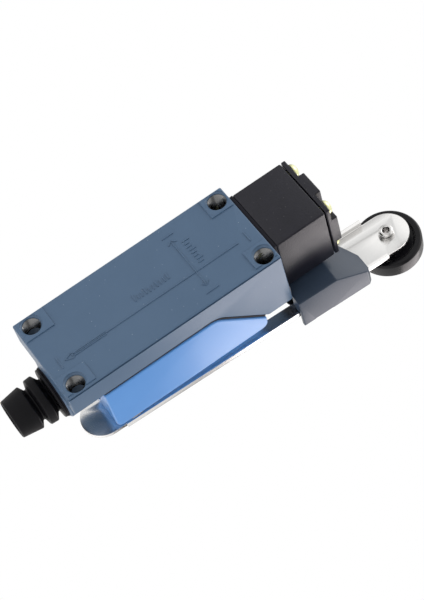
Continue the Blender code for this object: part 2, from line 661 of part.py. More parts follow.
def make_contacts():
    """The push button, the bridge that carries the moving contacts, and the spring under it."""
    stem = cylinder("switch_button", "Z", (0, CONTACT_Y, BRIDGE_TOP + GAP), (0, CONTACT_Y, BUTTON_TOP),
                    1.5 * MM)
    dress(stem, RED_PLASTIC)
    bridge = box("contact_bridge", (-4.2 * MM, CONTACT_Y - 0.8 * MM, BRIDGE_BOTTOM),
                 (4.2 * MM, CONTACT_Y + 0.8 * MM, BRIDGE_TOP))
    dress(bridge, BRASS)
    spring = coil("contact_spring", "Z", (0.0, CONTACT_Y), CHAMBER_BOTTOM + 0.6 * MM, BRIDGE_BOTTOM - 0.6 * MM,
                  1.6 * MM, 0.25 * MM, 5.0, None, 12)
    dress(spring, SPRING_WIRE)


def make_block_screws():
    for index, (x, z) in enumerate(BLOCK_SCREWS, start=1):
        pan_screw(f"block_screw_{index}", "Y", (x, BLOCK_FRONT - GAP, z), (x, FLOOR_SCREW_TIP, z),
                  2.2 * MM, 1.3 * MM, 1.1 * MM, STEEL)
    x, z = GROUND_SCREW
    tip = (x, FLOOR_SCREW_TIP, z)
    pan_screw("ground_screw", "Y", (x, -3.9 * MM, z), tip, 2.2 * MM, 1.3 * MM, 1.1 * MM, BRASS)
    ring("ground_washer", -2.9 * MM, -3.6 * MM, 1.4 * MM, 2.8 * MM, BRASS, None, (x, z), SMALL_STEPS)


# --- the lever arm, drawn from the shaft's axis ----------------------------------------------

def clamp_outline():
    """The clamp seen along Y: a block beside the shaft, a round boss on it and the split ears."""
    chamfer = 1.0 * MM
    ear_angle = math.asin(EAR_HALF_HEIGHT / BOSS_RADIUS)
    boss_top = arc((0.0, 0.0), BOSS_RADIUS, math.radians(60.0), ear_angle, 4)
    boss_bottom = arc((0.0, 0.0), BOSS_RADIUS, -ear_angle, math.radians(-90.0), 7)
    block = [(-12.3 * MM, CLAMP_BOTTOM), (CLAMP_LEFT, CLAMP_BOTTOM), (CLAMP_LEFT, CLAMP_TOP - chamfer),
             (CLAMP_LEFT + chamfer, CLAMP_TOP), (-9.85 * MM, CLAMP_TOP)]
    ear = [(EAR_END, EAR_HALF_HEIGHT), (EAR_END, -EAR_HALF_HEIGHT)]
    return block + boss_top + ear + boss_bottom + [(-10.0 * MM, -7.0 * MM)]


def make_clamp(arm):
    """The die-cast clamp: it grips the shaft and holds the strip in a channel on its front."""
    clamp = plate("lever_clamp", clamp_outline(), CLAMP_PLATE_FRONT, CLAMP_BACK, FACING_Y, arm)
    inside = STRIP_HALF_WIDTH + GAP
    root = CLAMP_PLATE_FRONT + 0.8 * MM
    left_wall = box("clamp_wall", (CLAMP_LEFT, CLAMP_FRONT, CLAMP_BOTTOM),
                    (STRIP_X - inside, root, CLAMP_TOP - 1.0 * MM), arm)
    right_wall = box("clamp_wall", (STRIP_X + inside, CLAMP_FRONT, -5.6 * MM), (1.3 * MM, root, 5.2 * MM), arm)
    pad_half = STRIP_HALF_WIDTH - STRIP_SHEET - GAP
    pad = box("clamp_pad", (STRIP_X - pad_half, STRIP_BACK + GAP, -6.4 * MM),
              (STRIP_X + pad_half, root, 9.0 * MM), arm)
    join(clamp, left_wall, right_wall, pad)
    back_slope = [(CLAMP_BACK + 5 * MM, 3.5 * MM), (CLAMP_BACK, 3.5 * MM), (-29.6 * MM, 20 * MM),
                  (CLAMP_BACK + 5 * MM, 20 * MM)]
    wedge = plate("clamp_slope", back_slope, -30 * MM, 30 * MM, FACING_X, arm)
    bore = cylinder("clamp_bore", "Y", (0, 0, 0), (0, -26.6 * MM, 0), SHAFT_RADIUS + GAP, arm, 28)
    slit = box("clamp_slit", (2.0 * MM, -30 * MM, -0.6 * MM), (20 * MM, -10 * MM, 0.6 * MM), arm)
    screw_way = cylinder("clamp_screw_way", "Z", (CLAMP_SCREW_X, CLAMP_SCREW_Y, -20 * MM),
                         (CLAMP_SCREW_X, CLAMP_SCREW_Y, 20 * MM), 1.7 * MM, arm)
    bolt_way = cylinder("bolt_way", "Y", (STRIP_X, -22.4 * MM, BOLT_Z), (STRIP_X, -THROUGH, BOLT_Z),
                        BOLT_RADIUS + 0.3 * MM, arm)
    cut(clamp, wedge, bore, slit, screw_way, bolt_way)
    return dress(clamp, GREY_PAINT)


def hexagon(centre, across):
    radius = across / math.sqrt(3.0)
    return [(centre[0] + radius * math.cos(k * math.tau / 6.0),
             centre[1] + radius * math.sin(k * math.tau / 6.0)) for k in range(6)]


def make_arm_fasteners(arm):
    """Socket screw that closes the split boss, and the hexagon bolt that pinches the strip."""
    place = (CLAMP_SCREW_X, CLAMP_SCREW_Y, EAR_HALF_HEIGHT + GAP)
    profile = [(0.0, 2.4 * MM), (2.2 * MM, 2.4 * MM), (2.2 * MM, 0.0), (1.4 * MM, 0.0), (1.4 * MM, -8.6 * MM),
               (0.0, -8.6 * MM)]
    screw = turned("clamp_screw", profile, "Z", place, arm, SMALL_STEPS)
    socket_floor = EAR_HALF_HEIGHT + GAP + 1.0 * MM
    socket = plate("socket", hexagon((CLAMP_SCREW_X, CLAMP_SCREW_Y), 2.4 * MM), socket_floor,
                   socket_floor + 3.0 * MM, FACING_Z, arm)
    cut(screw, socket)
    dress(screw, DARK_STEEL)
    centre = (STRIP_X, BOLT_Z)
    bolt = plate("strip_bolt", hexagon(centre, 6.6 * MM), -32.2 * MM, -30.2 * MM, FACING_Y, arm)
    shank = cylinder("bolt_shank", "Y", (STRIP_X, -31.0 * MM, BOLT_Z), (STRIP_X, -22.9 * MM, BOLT_Z),
                     BOLT_RADIUS, arm)
    join(bolt, shank)
    dress(bolt, ZINC)
    ring("strip_washer", -29.35 * MM, -29.95 * MM, 2.0 * MM, 4.3 * MM, DARK_STEEL, arm, centre, SMALL_STEPS)


def strip_outline(half, bottom, top, count=9):
    """A bar with two round ends."""
    lower = arc((STRIP_X, bottom), half, -math.pi, 0.0, count)
    upper = arc((STRIP_X, top), half, 0.0, math.pi, count)
    return lower + upper


def make_strip(slide):
    """The stainless strip: a flat web, two low flanges towards the body, and the long slot."""
    inner = STRIP_HALF_WIDTH - STRIP_SHEET
    web_front = STRIP_BACK - STRIP_SHEET
    web = strip_outline(inner, STRIP_BOTTOM_CENTRE, STRIP_TOP_CENTRE)
    strip = plate("lever_strip", web, web_front, STRIP_BACK, FACING_Y, slide)
    for side in (-1, 1):
        low_x, high_x = sorted((STRIP_X + side * (inner - 0.3 * MM), STRIP_X + side * STRIP_HALF_WIDTH))
        tab = box("strip_edge", (low_x, web_front, FLANGE_BOTTOM), (high_x, STRIP_BACK, FLANGE_TOP), slide)
        low_x, high_x = sorted((STRIP_X + side * inner, STRIP_X + side * STRIP_HALF_WIDTH))
        flange = box("strip_flange", (low_x, web_front, FLANGE_BOTTOM),
                     (high_x, STRIP_FLANGE_TIP, FLANGE_TOP), slide)
        join(strip, tab, flange)
    opening = strip_outline(SLOT_HALF_WIDTH, SLOT_BOTTOM + SLOT_HALF_WIDTH, SLOT_TOP - SLOT_HALF_WIDTH, 7)
    slot = plate("strip_slot", opening, -35 * MM, -20 * MM, FACING_Y, slide)
    hole = cylinder("rivet_hole", "Y", (STRIP_X, -20 * MM, STRIP_TOP_CENTRE),
                    (STRIP_X, -35 * MM, STRIP_TOP_CENTRE), RIVET_RADIUS + GAP, slide)
    cut(strip, slot, hole)
    return dress(strip, STEEL)


def make_roller(slide, spin):
    """The nylon roller on its bush, held by a tubular rivet through the strip's end."""
    centre = (STRIP_X, STRIP_TOP_CENTRE)
    place = (STRIP_X, 0.0, STRIP_TOP_CENTRE)
    head = RIVET_HEAD_FRONT
    flare = RIVET_FLARE_BACK
    radius = RIVET_RADIUS
    rolled = RIVET_RADIUS + 0.4 * MM
    rivet = [(3.2 * MM, head), (3.2 * MM, head - 0.7 * MM), (radius, head - 0.7 * MM),
             (radius, flare + 1.2 * MM), (rolled, flare + 0.8 * MM), (rolled, flare + 0.2 * MM),
             (rolled - 0.3 * MM, flare), (RIVET_BORE, flare), (RIVET_BORE, head)]
    dress(turned("roller_rivet", rivet, "Y", place, slide, SMALL_STEPS), STEEL)
    bore = radius + 0.3 * MM
    ring("roller_washer", -29.4 * MM, -30.5 * MM, bore, 4.2 * MM, STEEL, slide, centre)
    ring("roller_bush", ROLLER_BACK, ROLLER_FRONT, bore, 2.9 * MM, STEEL, slide, centre)
    half = (ROLLER_BACK - ROLLER_FRONT) / 2.0
    rim = ROLLER_RADIUS
    dish = 0.7 * MM
    profile = [(rim - 0.5 * MM, half), (rim, half - 0.5 * MM), (rim, -half + 0.5 * MM), (rim - 0.5 * MM, -half),
               (7.0 * MM, -half), (6.6 * MM, -half + dish), (4.6 * MM, -half + dish), (4.3 * MM, -half),
               (2.95 * MM, -half), (2.95 * MM, half), (4.3 * MM, half), (4.6 * MM, half - dish),
               (6.6 * MM, half - dish), (7.0 * MM, half)]
    roller = turned("roller", profile, "Y", (0.0, 0.0, 0.0), spin, 36)
    return dress(roller, BLACK_NYLON)


make_housing()
make_cover()
make_cover_gasket()
make_cover_screws()
make_gland()
make_head()
make_head_cap()
make_head_screws()
make_head_gasket()
make_shaft_bearing()
make_plunger()
make_switch_block()
make_terminals()
make_contacts()
make_block_screws()

shaft_axis = pivot("shaft_axis", (0.0, 0.0, SHAFT_Z))
clamp_axis = pivot("clamp_axis", (0.0, 0.0, 0.0), ARM_TILT, shaft_axis)
strip_slide = pivot("strip_slide", (0.0, 0.0, 0.0), 0.0, clamp_axis)
roller_place = (STRIP_X, (ROLLER_BACK + ROLLER_FRONT) / 2.0, STRIP_TOP_CENTRE)
roller_axis = pivot("roller_axis", roller_place, 0.0, strip_slide)
bpy.context.view_layer.update()

make_shaft(shaft_axis)
make_clamp(clamp_axis)
make_arm_fasteners(clamp_axis)
make_strip(strip_slide)
make_roller(strip_slide, roller_axis)
bpy.context.view_layer.update()
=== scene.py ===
# %% [markdown]
# # An adjustable roller lever limit switch
# The switch has a die-cast body, a deep blue cover, a black rotary head, a cast clamp that grips the
# head's shaft, a slotted stainless lever strip with a nylon roller, and a rubber cable grip.
# The engineering model is loaded first. Its frame is in metres: +Z runs to the head and +Y comes out of
# the flat mounting face. Every visible piece is then made again with rounded edges and real detail, or
# gets a better finish.

import json
import math

import bmesh
import bpy
from mathutils import Matrix, Vector


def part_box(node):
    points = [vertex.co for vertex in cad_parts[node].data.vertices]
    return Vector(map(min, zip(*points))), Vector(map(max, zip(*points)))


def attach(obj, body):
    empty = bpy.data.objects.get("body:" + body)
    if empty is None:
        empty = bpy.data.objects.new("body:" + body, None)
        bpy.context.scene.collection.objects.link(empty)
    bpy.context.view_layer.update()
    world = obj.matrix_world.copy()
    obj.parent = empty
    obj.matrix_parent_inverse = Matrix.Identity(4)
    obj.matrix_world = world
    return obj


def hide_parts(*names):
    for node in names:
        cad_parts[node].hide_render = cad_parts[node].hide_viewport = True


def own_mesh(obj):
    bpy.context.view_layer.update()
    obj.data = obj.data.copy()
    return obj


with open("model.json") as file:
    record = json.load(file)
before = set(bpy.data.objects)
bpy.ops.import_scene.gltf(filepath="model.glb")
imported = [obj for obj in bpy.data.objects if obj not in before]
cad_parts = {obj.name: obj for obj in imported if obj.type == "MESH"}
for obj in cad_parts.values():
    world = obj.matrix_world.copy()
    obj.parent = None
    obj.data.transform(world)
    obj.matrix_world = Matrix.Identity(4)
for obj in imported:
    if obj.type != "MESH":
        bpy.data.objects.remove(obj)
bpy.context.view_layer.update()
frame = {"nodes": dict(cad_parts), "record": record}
nodes = frame["nodes"]
record = frame["record"]
MM = 0.001

# %% [markdown]
# ## The camera
# A long lens stands 0.53 m away, a little below the switch and behind its mounting face, and is rolled so
# that the head points to the upper right. Three unit vectors say all of that: where the camera looks, and
# which ways are right and up in its view. World up is turned by the roll angle within the view.

# %% Place the camera
AIM = Vector((-10.3, -4.1, 11.7)) * MM
CAMERA_AZIMUTH = math.radians(31.8)
CAMERA_ELEVATION = math.radians(-9.4)
CAMERA_ROLL = math.radians(55.8)
CAMERA_DISTANCE = 528.7 * MM
LENS_LENGTH = 129.0
SENSOR_WIDTH = 36.0

towards = Vector((-math.sin(CAMERA_AZIMUTH) * math.cos(CAMERA_ELEVATION),
                  math.cos(CAMERA_AZIMUTH) * math.cos(CAMERA_ELEVATION), math.sin(CAMERA_ELEVATION)))
level_right = Vector((0.0, 0.0, 1.0)).cross(towards).normalized()
level_up = towards.cross(level_right)
right = math.cos(CAMERA_ROLL) * level_right + math.sin(CAMERA_ROLL) * level_up
up = math.cos(CAMERA_ROLL) * level_up - math.sin(CAMERA_ROLL) * level_right
lens = bpy.data.cameras.new("camera")
lens.lens = LENS_LENGTH
lens.sensor_width = SENSOR_WIDTH
lens.clip_end = 20.0
camera = bpy.data.objects.new("camera", lens)
bpy.context.scene.collection.objects.link(camera)
turned_view = Matrix((right, up, towards)).transposed().to_4x4()
camera.matrix_world = Matrix.Translation(AIM + towards * CAMERA_DISTANCE) @ turned_view
bpy.context.scene.camera = camera
print("camera at", [round(v, 3) for v in camera.matrix_world.translation])

# %% [markdown]
# ## Light
# The room is soft and a little dim at eye level, and bright overhead, so that the pale floor stays pale.
# A large, even panel stands behind the mounting face, where polished steel and flat enamel mirror it. A
# smaller and stronger one stands low in front, past the switch's flank: painted and moulded flanks that
# are seen at a slant catch its sheen and read lighter than the back. What the camera itself sees behind
# the switch is plain white, through the Light Path node.

# %% The room's own light
EYE_LEVEL = 0.42
OVERHEAD = 1.25
FADE_FROM = 0.25
FADE_TO = 0.75

world = bpy.data.worlds.new("white_room")
bpy.context.scene.world = world
world.use_nodes = True
sky = world.node_tree
sky.nodes.clear()
direction = sky.nodes.new("ShaderNodeTexCoord")
height = sky.nodes.new("ShaderNodeSeparateXYZ")
fade = sky.nodes.new("ShaderNodeMapRange")
fade.interpolation_type = "SMOOTHSTEP"
fade.inputs["From Min"].default_value = FADE_FROM
fade.inputs["From Max"].default_value = FADE_TO
fade.inputs["To Min"].default_value = EYE_LEVEL
fade.inputs["To Max"].default_value = OVERHEAD
room = sky.nodes.new("ShaderNodeBackground")
room.inputs["Color"].default_value = (1.0, 0.985, 0.965, 1.0)
plain = sky.nodes.new("ShaderNodeBackground")
plain.inputs["Color"].default_value = (1.0, 1.0, 1.0, 1.0)
seen = sky.nodes.new("ShaderNodeLightPath")
choose = sky.nodes.new("ShaderNodeMixShader")
out = sky.nodes.new("ShaderNodeOutputWorld")
sky.links.new(direction.outputs["Generated"], height.inputs["Vector"])
sky.links.new(height.outputs["Z"], fade.inputs["Value"])
sky.links.new(fade.outputs["Result"], room.inputs["Strength"])
sky.links.new(seen.outputs["Is Camera Ray"], choose.inputs["Fac"])
sky.links.new(room.outputs["Background"], choose.inputs[1])
sky.links.new(plain.outputs["Background"], choose.inputs[2])
sky.links.new(choose.outputs["Shader"], out.inputs["Surface"])
bpy.context.scene.view_settings.view_transform = "Standard"
print("room brightness from", EYE_LEVEL, "at eye level to", OVERHEAD, "overhead")


# %% Three soft panels
def soft_panel(name, place, size, brightness, tint):
    """A square area light that looks at the switch. Its watts follow from how bright it looks."""
    data = bpy.data.lights.new(name, "AREA")
    data.size = size
    data.energy = brightness * math.pi * size * size
    data.color = tint
    panel = bpy.data.objects.new(name, data)
    panel.location = place
    panel.rotation_euler = (Vector(place) - AIM).to_track_quat("Z", "Y").to_euler()
    panel.visible_camera = False
    bpy.context.scene.collection.objects.link(panel)
    print(name, "is", size, "m square and", round(data.energy, 2), "W")


soft_panel("back_panel", (0.57, 0.92, 0.30), 0.90, 0.42, (0.97, 0.99, 1.0))
soft_panel("sheen_panel", (-0.22, -0.36, 0.200), 0.30, 3.4, (1.0, 0.935, 0.94))
soft_panel("top_panel", (0.15, 0.20, 0.90), 0.60, 2.0, (1.0, 1.0, 1.0))

# %% The pale floor
FLOOR_Z = -0.22
FLOOR_REACH = 6.0
PALE = (0.90, 0.90, 0.90, 1.0)
corners = [(x * FLOOR_REACH, y * FLOOR_REACH, FLOOR_Z) for x, y in ((-1, -1), (1, -1), (1, 1), (-1, 1))]
floor_mesh = bpy.data.meshes.new("floor")
floor_mesh.from_pydata(corners, [], [(0, 1, 2, 3)])
floor = bpy.data.objects.new("floor", floor_mesh)
bpy.context.scene.collection.objects.link(floor)
pale = bpy.data.materials.new("pale_floor")
pale.use_nodes = True
paint = pale.node_tree.nodes["Principled BSDF"]
paint.inputs["Base Color"].default_value = PALE
paint.inputs["Roughness"].default_value = 0.8
floor_mesh.materials.append(pale)
print("floor at", FLOOR_Z, "m")

# %% [markdown]
# ## Finishes
# A real finish is never one flat colour. Enamel has a fine orange peel and a cloudy tone, moulded
# plastic has a grain left by the tool, and sheet steel has drawn lines. Each is built from noise on Object
# coordinates, which are metres here, so a scale of 1000 gives features about a millimetre apart.
# The noise drives colour, roughness and bump. Values that are the same all over sit on the shader itself.

# %% A helper that builds one finish
def finish(name, dark, light, roughness, metallic=0.0, cloud=90.0, grain=2500.0, grain_height=0.02,
           stretch=(1.0, 1.0, 1.0), specks=0.0, speck_colour=(0.8, 0.8, 0.8), coat=0.0, specular=0.5):
    """One Principled material: cloudy colour, varied roughness, fine bump and optional pale specks."""
    material = bpy.data.materials.new(name)
    material.use_nodes = True
    tree = material.node_tree
    shader = tree.nodes["Principled BSDF"]
    shader.inputs["Metallic"].default_value = metallic
    shader.inputs["Coat Weight"].default_value = coat
    shader.inputs["Coat Roughness"].default_value = 0.12
    shader.inputs["Specular IOR Level"].default_value = specular
    place = tree.nodes.new("ShaderNodeTexCoord")
    mapping = tree.nodes.new("ShaderNodeMapping")
    mapping.inputs["Scale"].default_value = stretch
    clouds = tree.nodes.new("ShaderNodeTexNoise")
    clouds.inputs["Scale"].default_value = cloud
    clouds.inputs["Detail"].default_value = 4.0
    tones = tree.nodes.new("ShaderNodeMix")
    tones.data_type = "RGBA"
    tones.inputs["A"].default_value = (*dark, 1.0)
    tones.inputs["B"].default_value = (*light, 1.0)
    fine = tree.nodes.new("ShaderNodeTexNoise")
    fine.inputs["Scale"].default_value = grain
    fine.inputs["Detail"].default_value = 2.0
    gloss = tree.nodes.new("ShaderNodeMapRange")
    gloss.inputs["To Min"].default_value = roughness[0]
    gloss.inputs["To Max"].default_value = roughness[1]
    bump = tree.nodes.new("ShaderNodeBump")
    bump.inputs["Strength"].default_value = 1.0
    bump.inputs["Distance"].default_value = grain_height * MM
    tree.links.new(place.outputs["Object"], mapping.inputs["Vector"])
    for texture in (clouds, fine):
        tree.links.new(mapping.outputs["Vector"], texture.inputs["Vector"])
    tree.links.new(clouds.outputs["Fac"], tones.inputs["Factor"])
    tree.links.new(clouds.outputs["Fac"], gloss.inputs["Value"])
    tree.links.new(gloss.outputs["Result"], shader.inputs["Roughness"])
    tree.links.new(fine.outputs["Fac"], bump.inputs["Height"])
    tree.links.new(bump.outputs["Normal"], shader.inputs["Normal"])
    colour = tones.outputs["Result"]
    if specks:
        dots = tree.nodes.new("ShaderNodeTexVoronoi")
        dots.inputs["Scale"].default_value = grain * 0.35
        keep = tree.nodes.new("ShaderNodeMapRange")
        keep.inputs["From Min"].default_value = specks
        keep.inputs["From Max"].default_value = specks * 0.4
        over = tree.nodes.new("ShaderNodeMix")
        over.data_type = "RGBA"
        over.inputs["B"].default_value = (*speck_colour, 1.0)
        tree.links.new(mapping.outputs["Vector"], dots.inputs["Vector"])
        tree.links.new(dots.outputs["Distance"], keep.inputs["Value"])
        tree.links.new(keep.outputs["Result"], over.inputs["Factor"])
        tree.links.new(colour, over.inputs["A"])
        colour = over.outputs["Result"]
    tree.links.new(colour, shader.inputs["Base Color"])
    return material


# %% Paint, plastics and rubber
enamel = finish("slate_enamel", (0.064, 0.116, 0.196), (0.080, 0.138, 0.226), (0.30, 0.42), cloud=70,
                grain=1600, grain_height=0.010, specks=0.07, speck_colour=(0.26, 0.32, 0.40), specular=0.35)
# The clamp's paint is set far darker than the body's enamel. This is painted shade for the head's shadow on
# the clamp's back.
clamp_enamel_painted_shade = finish("clamp_enamel_painted_shade", (0.024, 0.038, 0.064), (0.034, 0.052, 0.084), (0.26, 0.38), cloud=110,
                      grain=1500, grain_height=0.014, specular=0.32)
blue_cover = finish("blue_moulding", (0.072, 0.245, 0.60), (0.090, 0.285, 0.67), (0.26, 0.36), cloud=60,
                    grain=2200, grain_height=0.006, coat=0.15)
grained_black = finish("grained_black", (0.006, 0.006, 0.011), (0.011, 0.011, 0.019), (0.26, 0.40), cloud=420,
                       grain=2000, grain_height=0.050, specks=0.12, speck_colour=(0.045, 0.045, 0.05),
                       specular=0.36)
moulded_black = finish("moulded_black", (0.003, 0.003, 0.005), (0.007, 0.007, 0.009), (0.35, 0.5), cloud=200,
                       grain=2600, grain_height=0.02, specular=0.15)
grip_rubber = finish("grip_rubber", (0.003, 0.003, 0.004), (0.008, 0.008, 0.010), (0.36, 0.5), cloud=180,
                     grain=2400, grain_height=0.012, specular=0.12)
seal_rubber = finish("seal_rubber", (0.006, 0.006, 0.010), (0.011, 0.011, 0.017), (0.5, 0.65), cloud=180,
                     grain=2400, specular=0.15)
wheel_nylon = finish("wheel_nylon", (0.002, 0.002, 0.003), (0.005, 0.005, 0.007), (0.22, 0.34), cloud=150,
                     grain=2000, grain_height=0.010, specular=0.25)
phenolic = finish("phenolic", (0.06, 0.028, 0.014), (0.10, 0.05, 0.026), (0.35, 0.5), cloud=200, grain=2200)
smoked_plate = finish("smoked_plate", (0.30, 0.26, 0.20), (0.36, 0.31, 0.25), (0.12, 0.2), cloud=100,
                      grain=2200)
red_button = finish("red_button", (0.50, 0.03, 0.02), (0.60, 0.05, 0.035), (0.25, 0.35), cloud=150,
                    grain=2200)
print("painted and moulded finishes made")

# %% Metals
drawn_steel = finish("drawn_steel", (0.74, 0.735, 0.73), (0.86, 0.855, 0.85), (0.16, 0.30), 1.0, cloud=260,
                     grain=3800, grain_height=0.003, stretch=(1.0, 1.0, 0.12))
turned_steel = finish("turned_steel", (0.62, 0.62, 0.62), (0.76, 0.75, 0.74), (0.16, 0.30), 1.0, cloud=700,
                      grain=4000, grain_height=0.006, stretch=(0.2, 1.0, 0.2))
black_oxide = finish("black_oxide", (0.012, 0.012, 0.014), (0.030, 0.030, 0.033), (0.35, 0.5), 0.7, cloud=500,
                     grain=3000, grain_height=0.01)
yellow_zinc = finish("yellow_zinc", (0.58, 0.57, 0.28), (0.84, 0.86, 0.56), (0.18, 0.36), 1.0, cloud=600,
                     grain=3000, grain_height=0.008)
# The cut threads are bare metal set very dark. This is painted shade for the shade inside the blind holes.
thread_metal_painted_shade = finish("cut_thread_metal_painted_shade", (0.10, 0.105, 0.11), (0.24, 0.24, 0.24), (0.16, 0.26), 1.0,
                      cloud=400, grain=4000, grain_height=0.02)
clean_brass = finish("clean_brass", (0.70, 0.50, 0.22), (0.84, 0.66, 0.34), (0.2, 0.35), 1.0, cloud=500,
                     grain=3000)
oiled_bronze = finish("oiled_bronze", (0.40, 0.24, 0.11), (0.56, 0.36, 0.19), (0.3, 0.45), 1.0, cloud=500,
                      grain=3000)
print("metal finishes made")

# %% Which finish each part of the engineering model wears
FINISH_OF_SLOT = {"grey_paint": enamel, "blue_plastic": blue_cover, "black_plastic": moulded_black,
                  "brown_plastic": phenolic, "smoke_plastic": smoked_plate, "red_plastic": red_button,
                  "black_rubber": seal_rubber, "steel": turned_steel, "dark_steel": black_oxide,
                  "yellow_zinc": yellow_zinc, "brass": clean_brass, "bronze": oiled_bronze,
                  "spring_wire": turned_steel, "black_nylon": wheel_nylon}
for entry in record["subparts"]:
    node = nodes[entry["node"]]
    for index in range(len(node.material_slots)):
        node.material_slots[index].material = FINISH_OF_SLOT[entry["material_slot"]]
print(len(FINISH_OF_SLOT), "slots finished on", len(nodes), "CAD nodes")

# %% [markdown]
# ## Tools for solid shapes
# Most pieces are an outline pushed through space, or a profile spun round an axis, with soft edges, and
# with holes cut afterwards. Softening comes before cutting, because bevels run cleanly on a simple solid.

# %% Outlines and lathes
POLE_MERGE = 0.002 * MM
CUT_MERGE = 0.0005 * MM
SMOOTH_UP_TO = math.radians(34.0)


def mapper(plane):
    """The matrix that lays flat (u, v, height) into space: u, v along the plane's two axes."""
    axes = {"YZ": ((0, 1, 0), (0, 0, 1), (1, 0, 0)), "XZ": ((1, 0, 0), (0, 0, 1), (0, -1, 0)),
            "XY": ((1, 0, 0), (0, 1, 0), (0, 0, 1))}[plane]
    return Matrix([Vector(axis) for axis in axes]).transposed().to_4x4()


def slab(outline, low, high, plane):
    """A solid between two heights over a flat outline. On XZ the heights count along -Y."""
    bm = bmesh.new()
    ring = [bm.verts.new((u, v, low)) for u, v in outline]
    face = bm.faces.new(ring)
    grown = bmesh.ops.extrude_face_region(bm, geom=[face])
    top = [item for item in grown["geom"] if isinstance(item, bmesh.types.BMVert)]
    bmesh.ops.translate(bm, verts=top, vec=(0.0, 0.0, high - low))
    bmesh.ops.transform(bm, matrix=mapper(plane), verts=bm.verts)
    bmesh.ops.recalc_face_normals(bm, faces=bm.faces)
    return bm


def block(low, high):
    """A box between two corners."""
    outline = [(low[0], low[1]), (high[0], low[1]), (high[0], high[1]), (low[0], high[1])]
    return slab(outline, low[2], high[2], "XY")


def lathe(profile, axis, place, steps=64):
    """A profile of (radius, height) spun round an axis. On Y the heights count along -Y."""
    bm = bmesh.new()
    verts = [bm.verts.new((radius, 0.0, height)) for radius, height in profile]
    closed = profile[0][0] > 0.0
    pairs = list(zip(verts, verts[1:] + (verts[:1] if closed else [])))
    edges = [bm.edges.new(pair) for pair in pairs if pair[0] is not pair[1]]
    bmesh.ops.spin(bm, geom=verts + edges, cent=(0, 0, 0), axis=(0, 0, 1), dvec=(0, 0, 0), angle=math.tau,
                   steps=steps, use_merge=True)
    bmesh.ops.remove_doubles(bm, verts=bm.verts, dist=POLE_MERGE)
    turn = Matrix.Rotation(math.radians(90.0), 4, "X") if axis == "Y" else Matrix.Identity(4)
    bmesh.ops.transform(bm, matrix=Matrix.Translation(place) @ turn, verts=bm.verts)
    bmesh.ops.recalc_face_normals(bm, faces=bm.faces)
    return bm


def rod(axis, place, start, end, radius, steps=48, chamfer=0.0):
    """A round bar along Y or Z. On Y the two heights count along -Y."""
    profile = [(0.0, end), (radius, end), (radius, start), (0.0, start)]
    if chamfer:
        neck = radius - chamfer
        profile[1:3] = [(neck, end), (radius, end - chamfer), (radius, start + chamfer), (neck, start)]
    return lathe(profile, axis, place, steps)


# %% Soft edges, cuts and finished pieces
def soften(bm, width, segments=3, sharper_than=30.0):
    """Round the edges that are sharper than an angle in degrees."""
    bm.normal_update()
    limit = math.radians(sharper_than)
    edges = [e for e in bm.edges if len(e.link_faces) == 2 and e.calc_face_angle() > limit]
    bmesh.ops.bevel(bm, geom=edges, offset=width, offset_type="OFFSET", segments=segments, profile=0.5,
                    affect="EDGES", clamp_overlap=True)
    return bm


def as_object(bm, name):
    """A scene object that holds a bmesh."""
    mesh = bpy.data.meshes.new(name)
    bm.to_mesh(mesh)
    bm.free()
    obj = bpy.data.objects.new(name, mesh)
    bpy.context.scene.collection.objects.link(obj)
    return obj


def evaluated_mesh(obj):
    """A plain mesh of what the modifiers make."""
    bpy.context.view_layer.update()
    graph = bpy.context.evaluated_depsgraph_get()
    return bpy.data.meshes.new_from_object(obj.evaluated_get(graph))


def combine(bm, others, operation="DIFFERENCE"):
    """Cut, join or intersect solids exactly, and give back one bmesh."""
    base = as_object(bm, "base")
    tools = [as_object(other, "tool") for other in others]
    for tool in tools:
        step = base.modifiers.new("step", "BOOLEAN")
        step.operation = operation
        step.solver = "EXACT"
        step.object = tool
    mesh = evaluated_mesh(base)
    result = bmesh.new()
    result.from_mesh(mesh)
    bmesh.ops.remove_doubles(result, verts=result.verts, dist=CUT_MERGE)
    for obj in [base] + tools:
        bpy.data.objects.remove(obj, do_unlink=True)
    bpy.data.meshes.remove(mesh)
    return result


def place_piece(name, bm, material, body, stands_for=()):
    """Make the finished piece, let it ride on its body and stand for its CAD nodes."""
    obj = as_object(bm, name)
    obj.data.materials.append(material)
    obj.data.shade_smooth()
    obj.data.set_sharp_from_angle(angle=SMOOTH_UP_TO)
    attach(obj, body)
    if stands_for:
        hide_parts(*stands_for)
    print(f"{name}: {len(obj.data.polygons)} faces for {', '.join(stands_for) or 'a detail'}")
    return obj


def arc(centre, radius, start, end, count):
    """Points on an arc, angles in degrees, both ends included."""
    angles = [math.radians(start + (end - start) * k / (count - 1)) for k in range(count)]
    return [(centre[0] + radius * math.cos(a), centre[1] + radius * math.sin(a)) for a in angles]


# %% [markdown]
# ## The die-cast body
# Seen from the side the casting is a thick block under the head that drops down a slant to a shallow tray.
# Its back carries a raised pad round each threaded hole and, cast in thin relief, the drawing of the hole
# pattern. The outline is pushed across the width, softened, and joined to the boss for the cable.

# %% Body sizes, taken from the CAD boxes where they can be
body_low, body_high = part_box("housing")
grip_low, grip_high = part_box("cable_grip")
WIDE = body_high[0]
TOP = body_high[2]
BOTTOM = body_low[2]
DEPTH = 20.2 * MM
TRAY = 7.4 * MM
ENTRY_Y = (grip_low[1] + grip_high[1]) / 2.0
ENTRY_RADIUS = ENTRY_Y - body_low[1]
ENTRY_BORE = 5.4 * MM
SADDLE_HALF = 6.0 * MM
ROOM_HALF = 11.2 * MM
ROOM_FLOOR = -2.6 * MM
ROOM_BOTTOM = -21.4 * MM
ROOM_TOP = 17.8 * MM
PAD_HEIGHT = 0.34 * MM
PAD_INSIDE = 6.75 * MM
PAD_REACH = {-1: 12.75 * MM, 1: 13.15 * MM}
PAD_INSET = 0.35 * MM
print("body", round(2 * WIDE / MM, 1), "wide and", round((TOP - BOTTOM) / MM, 1), "tall")

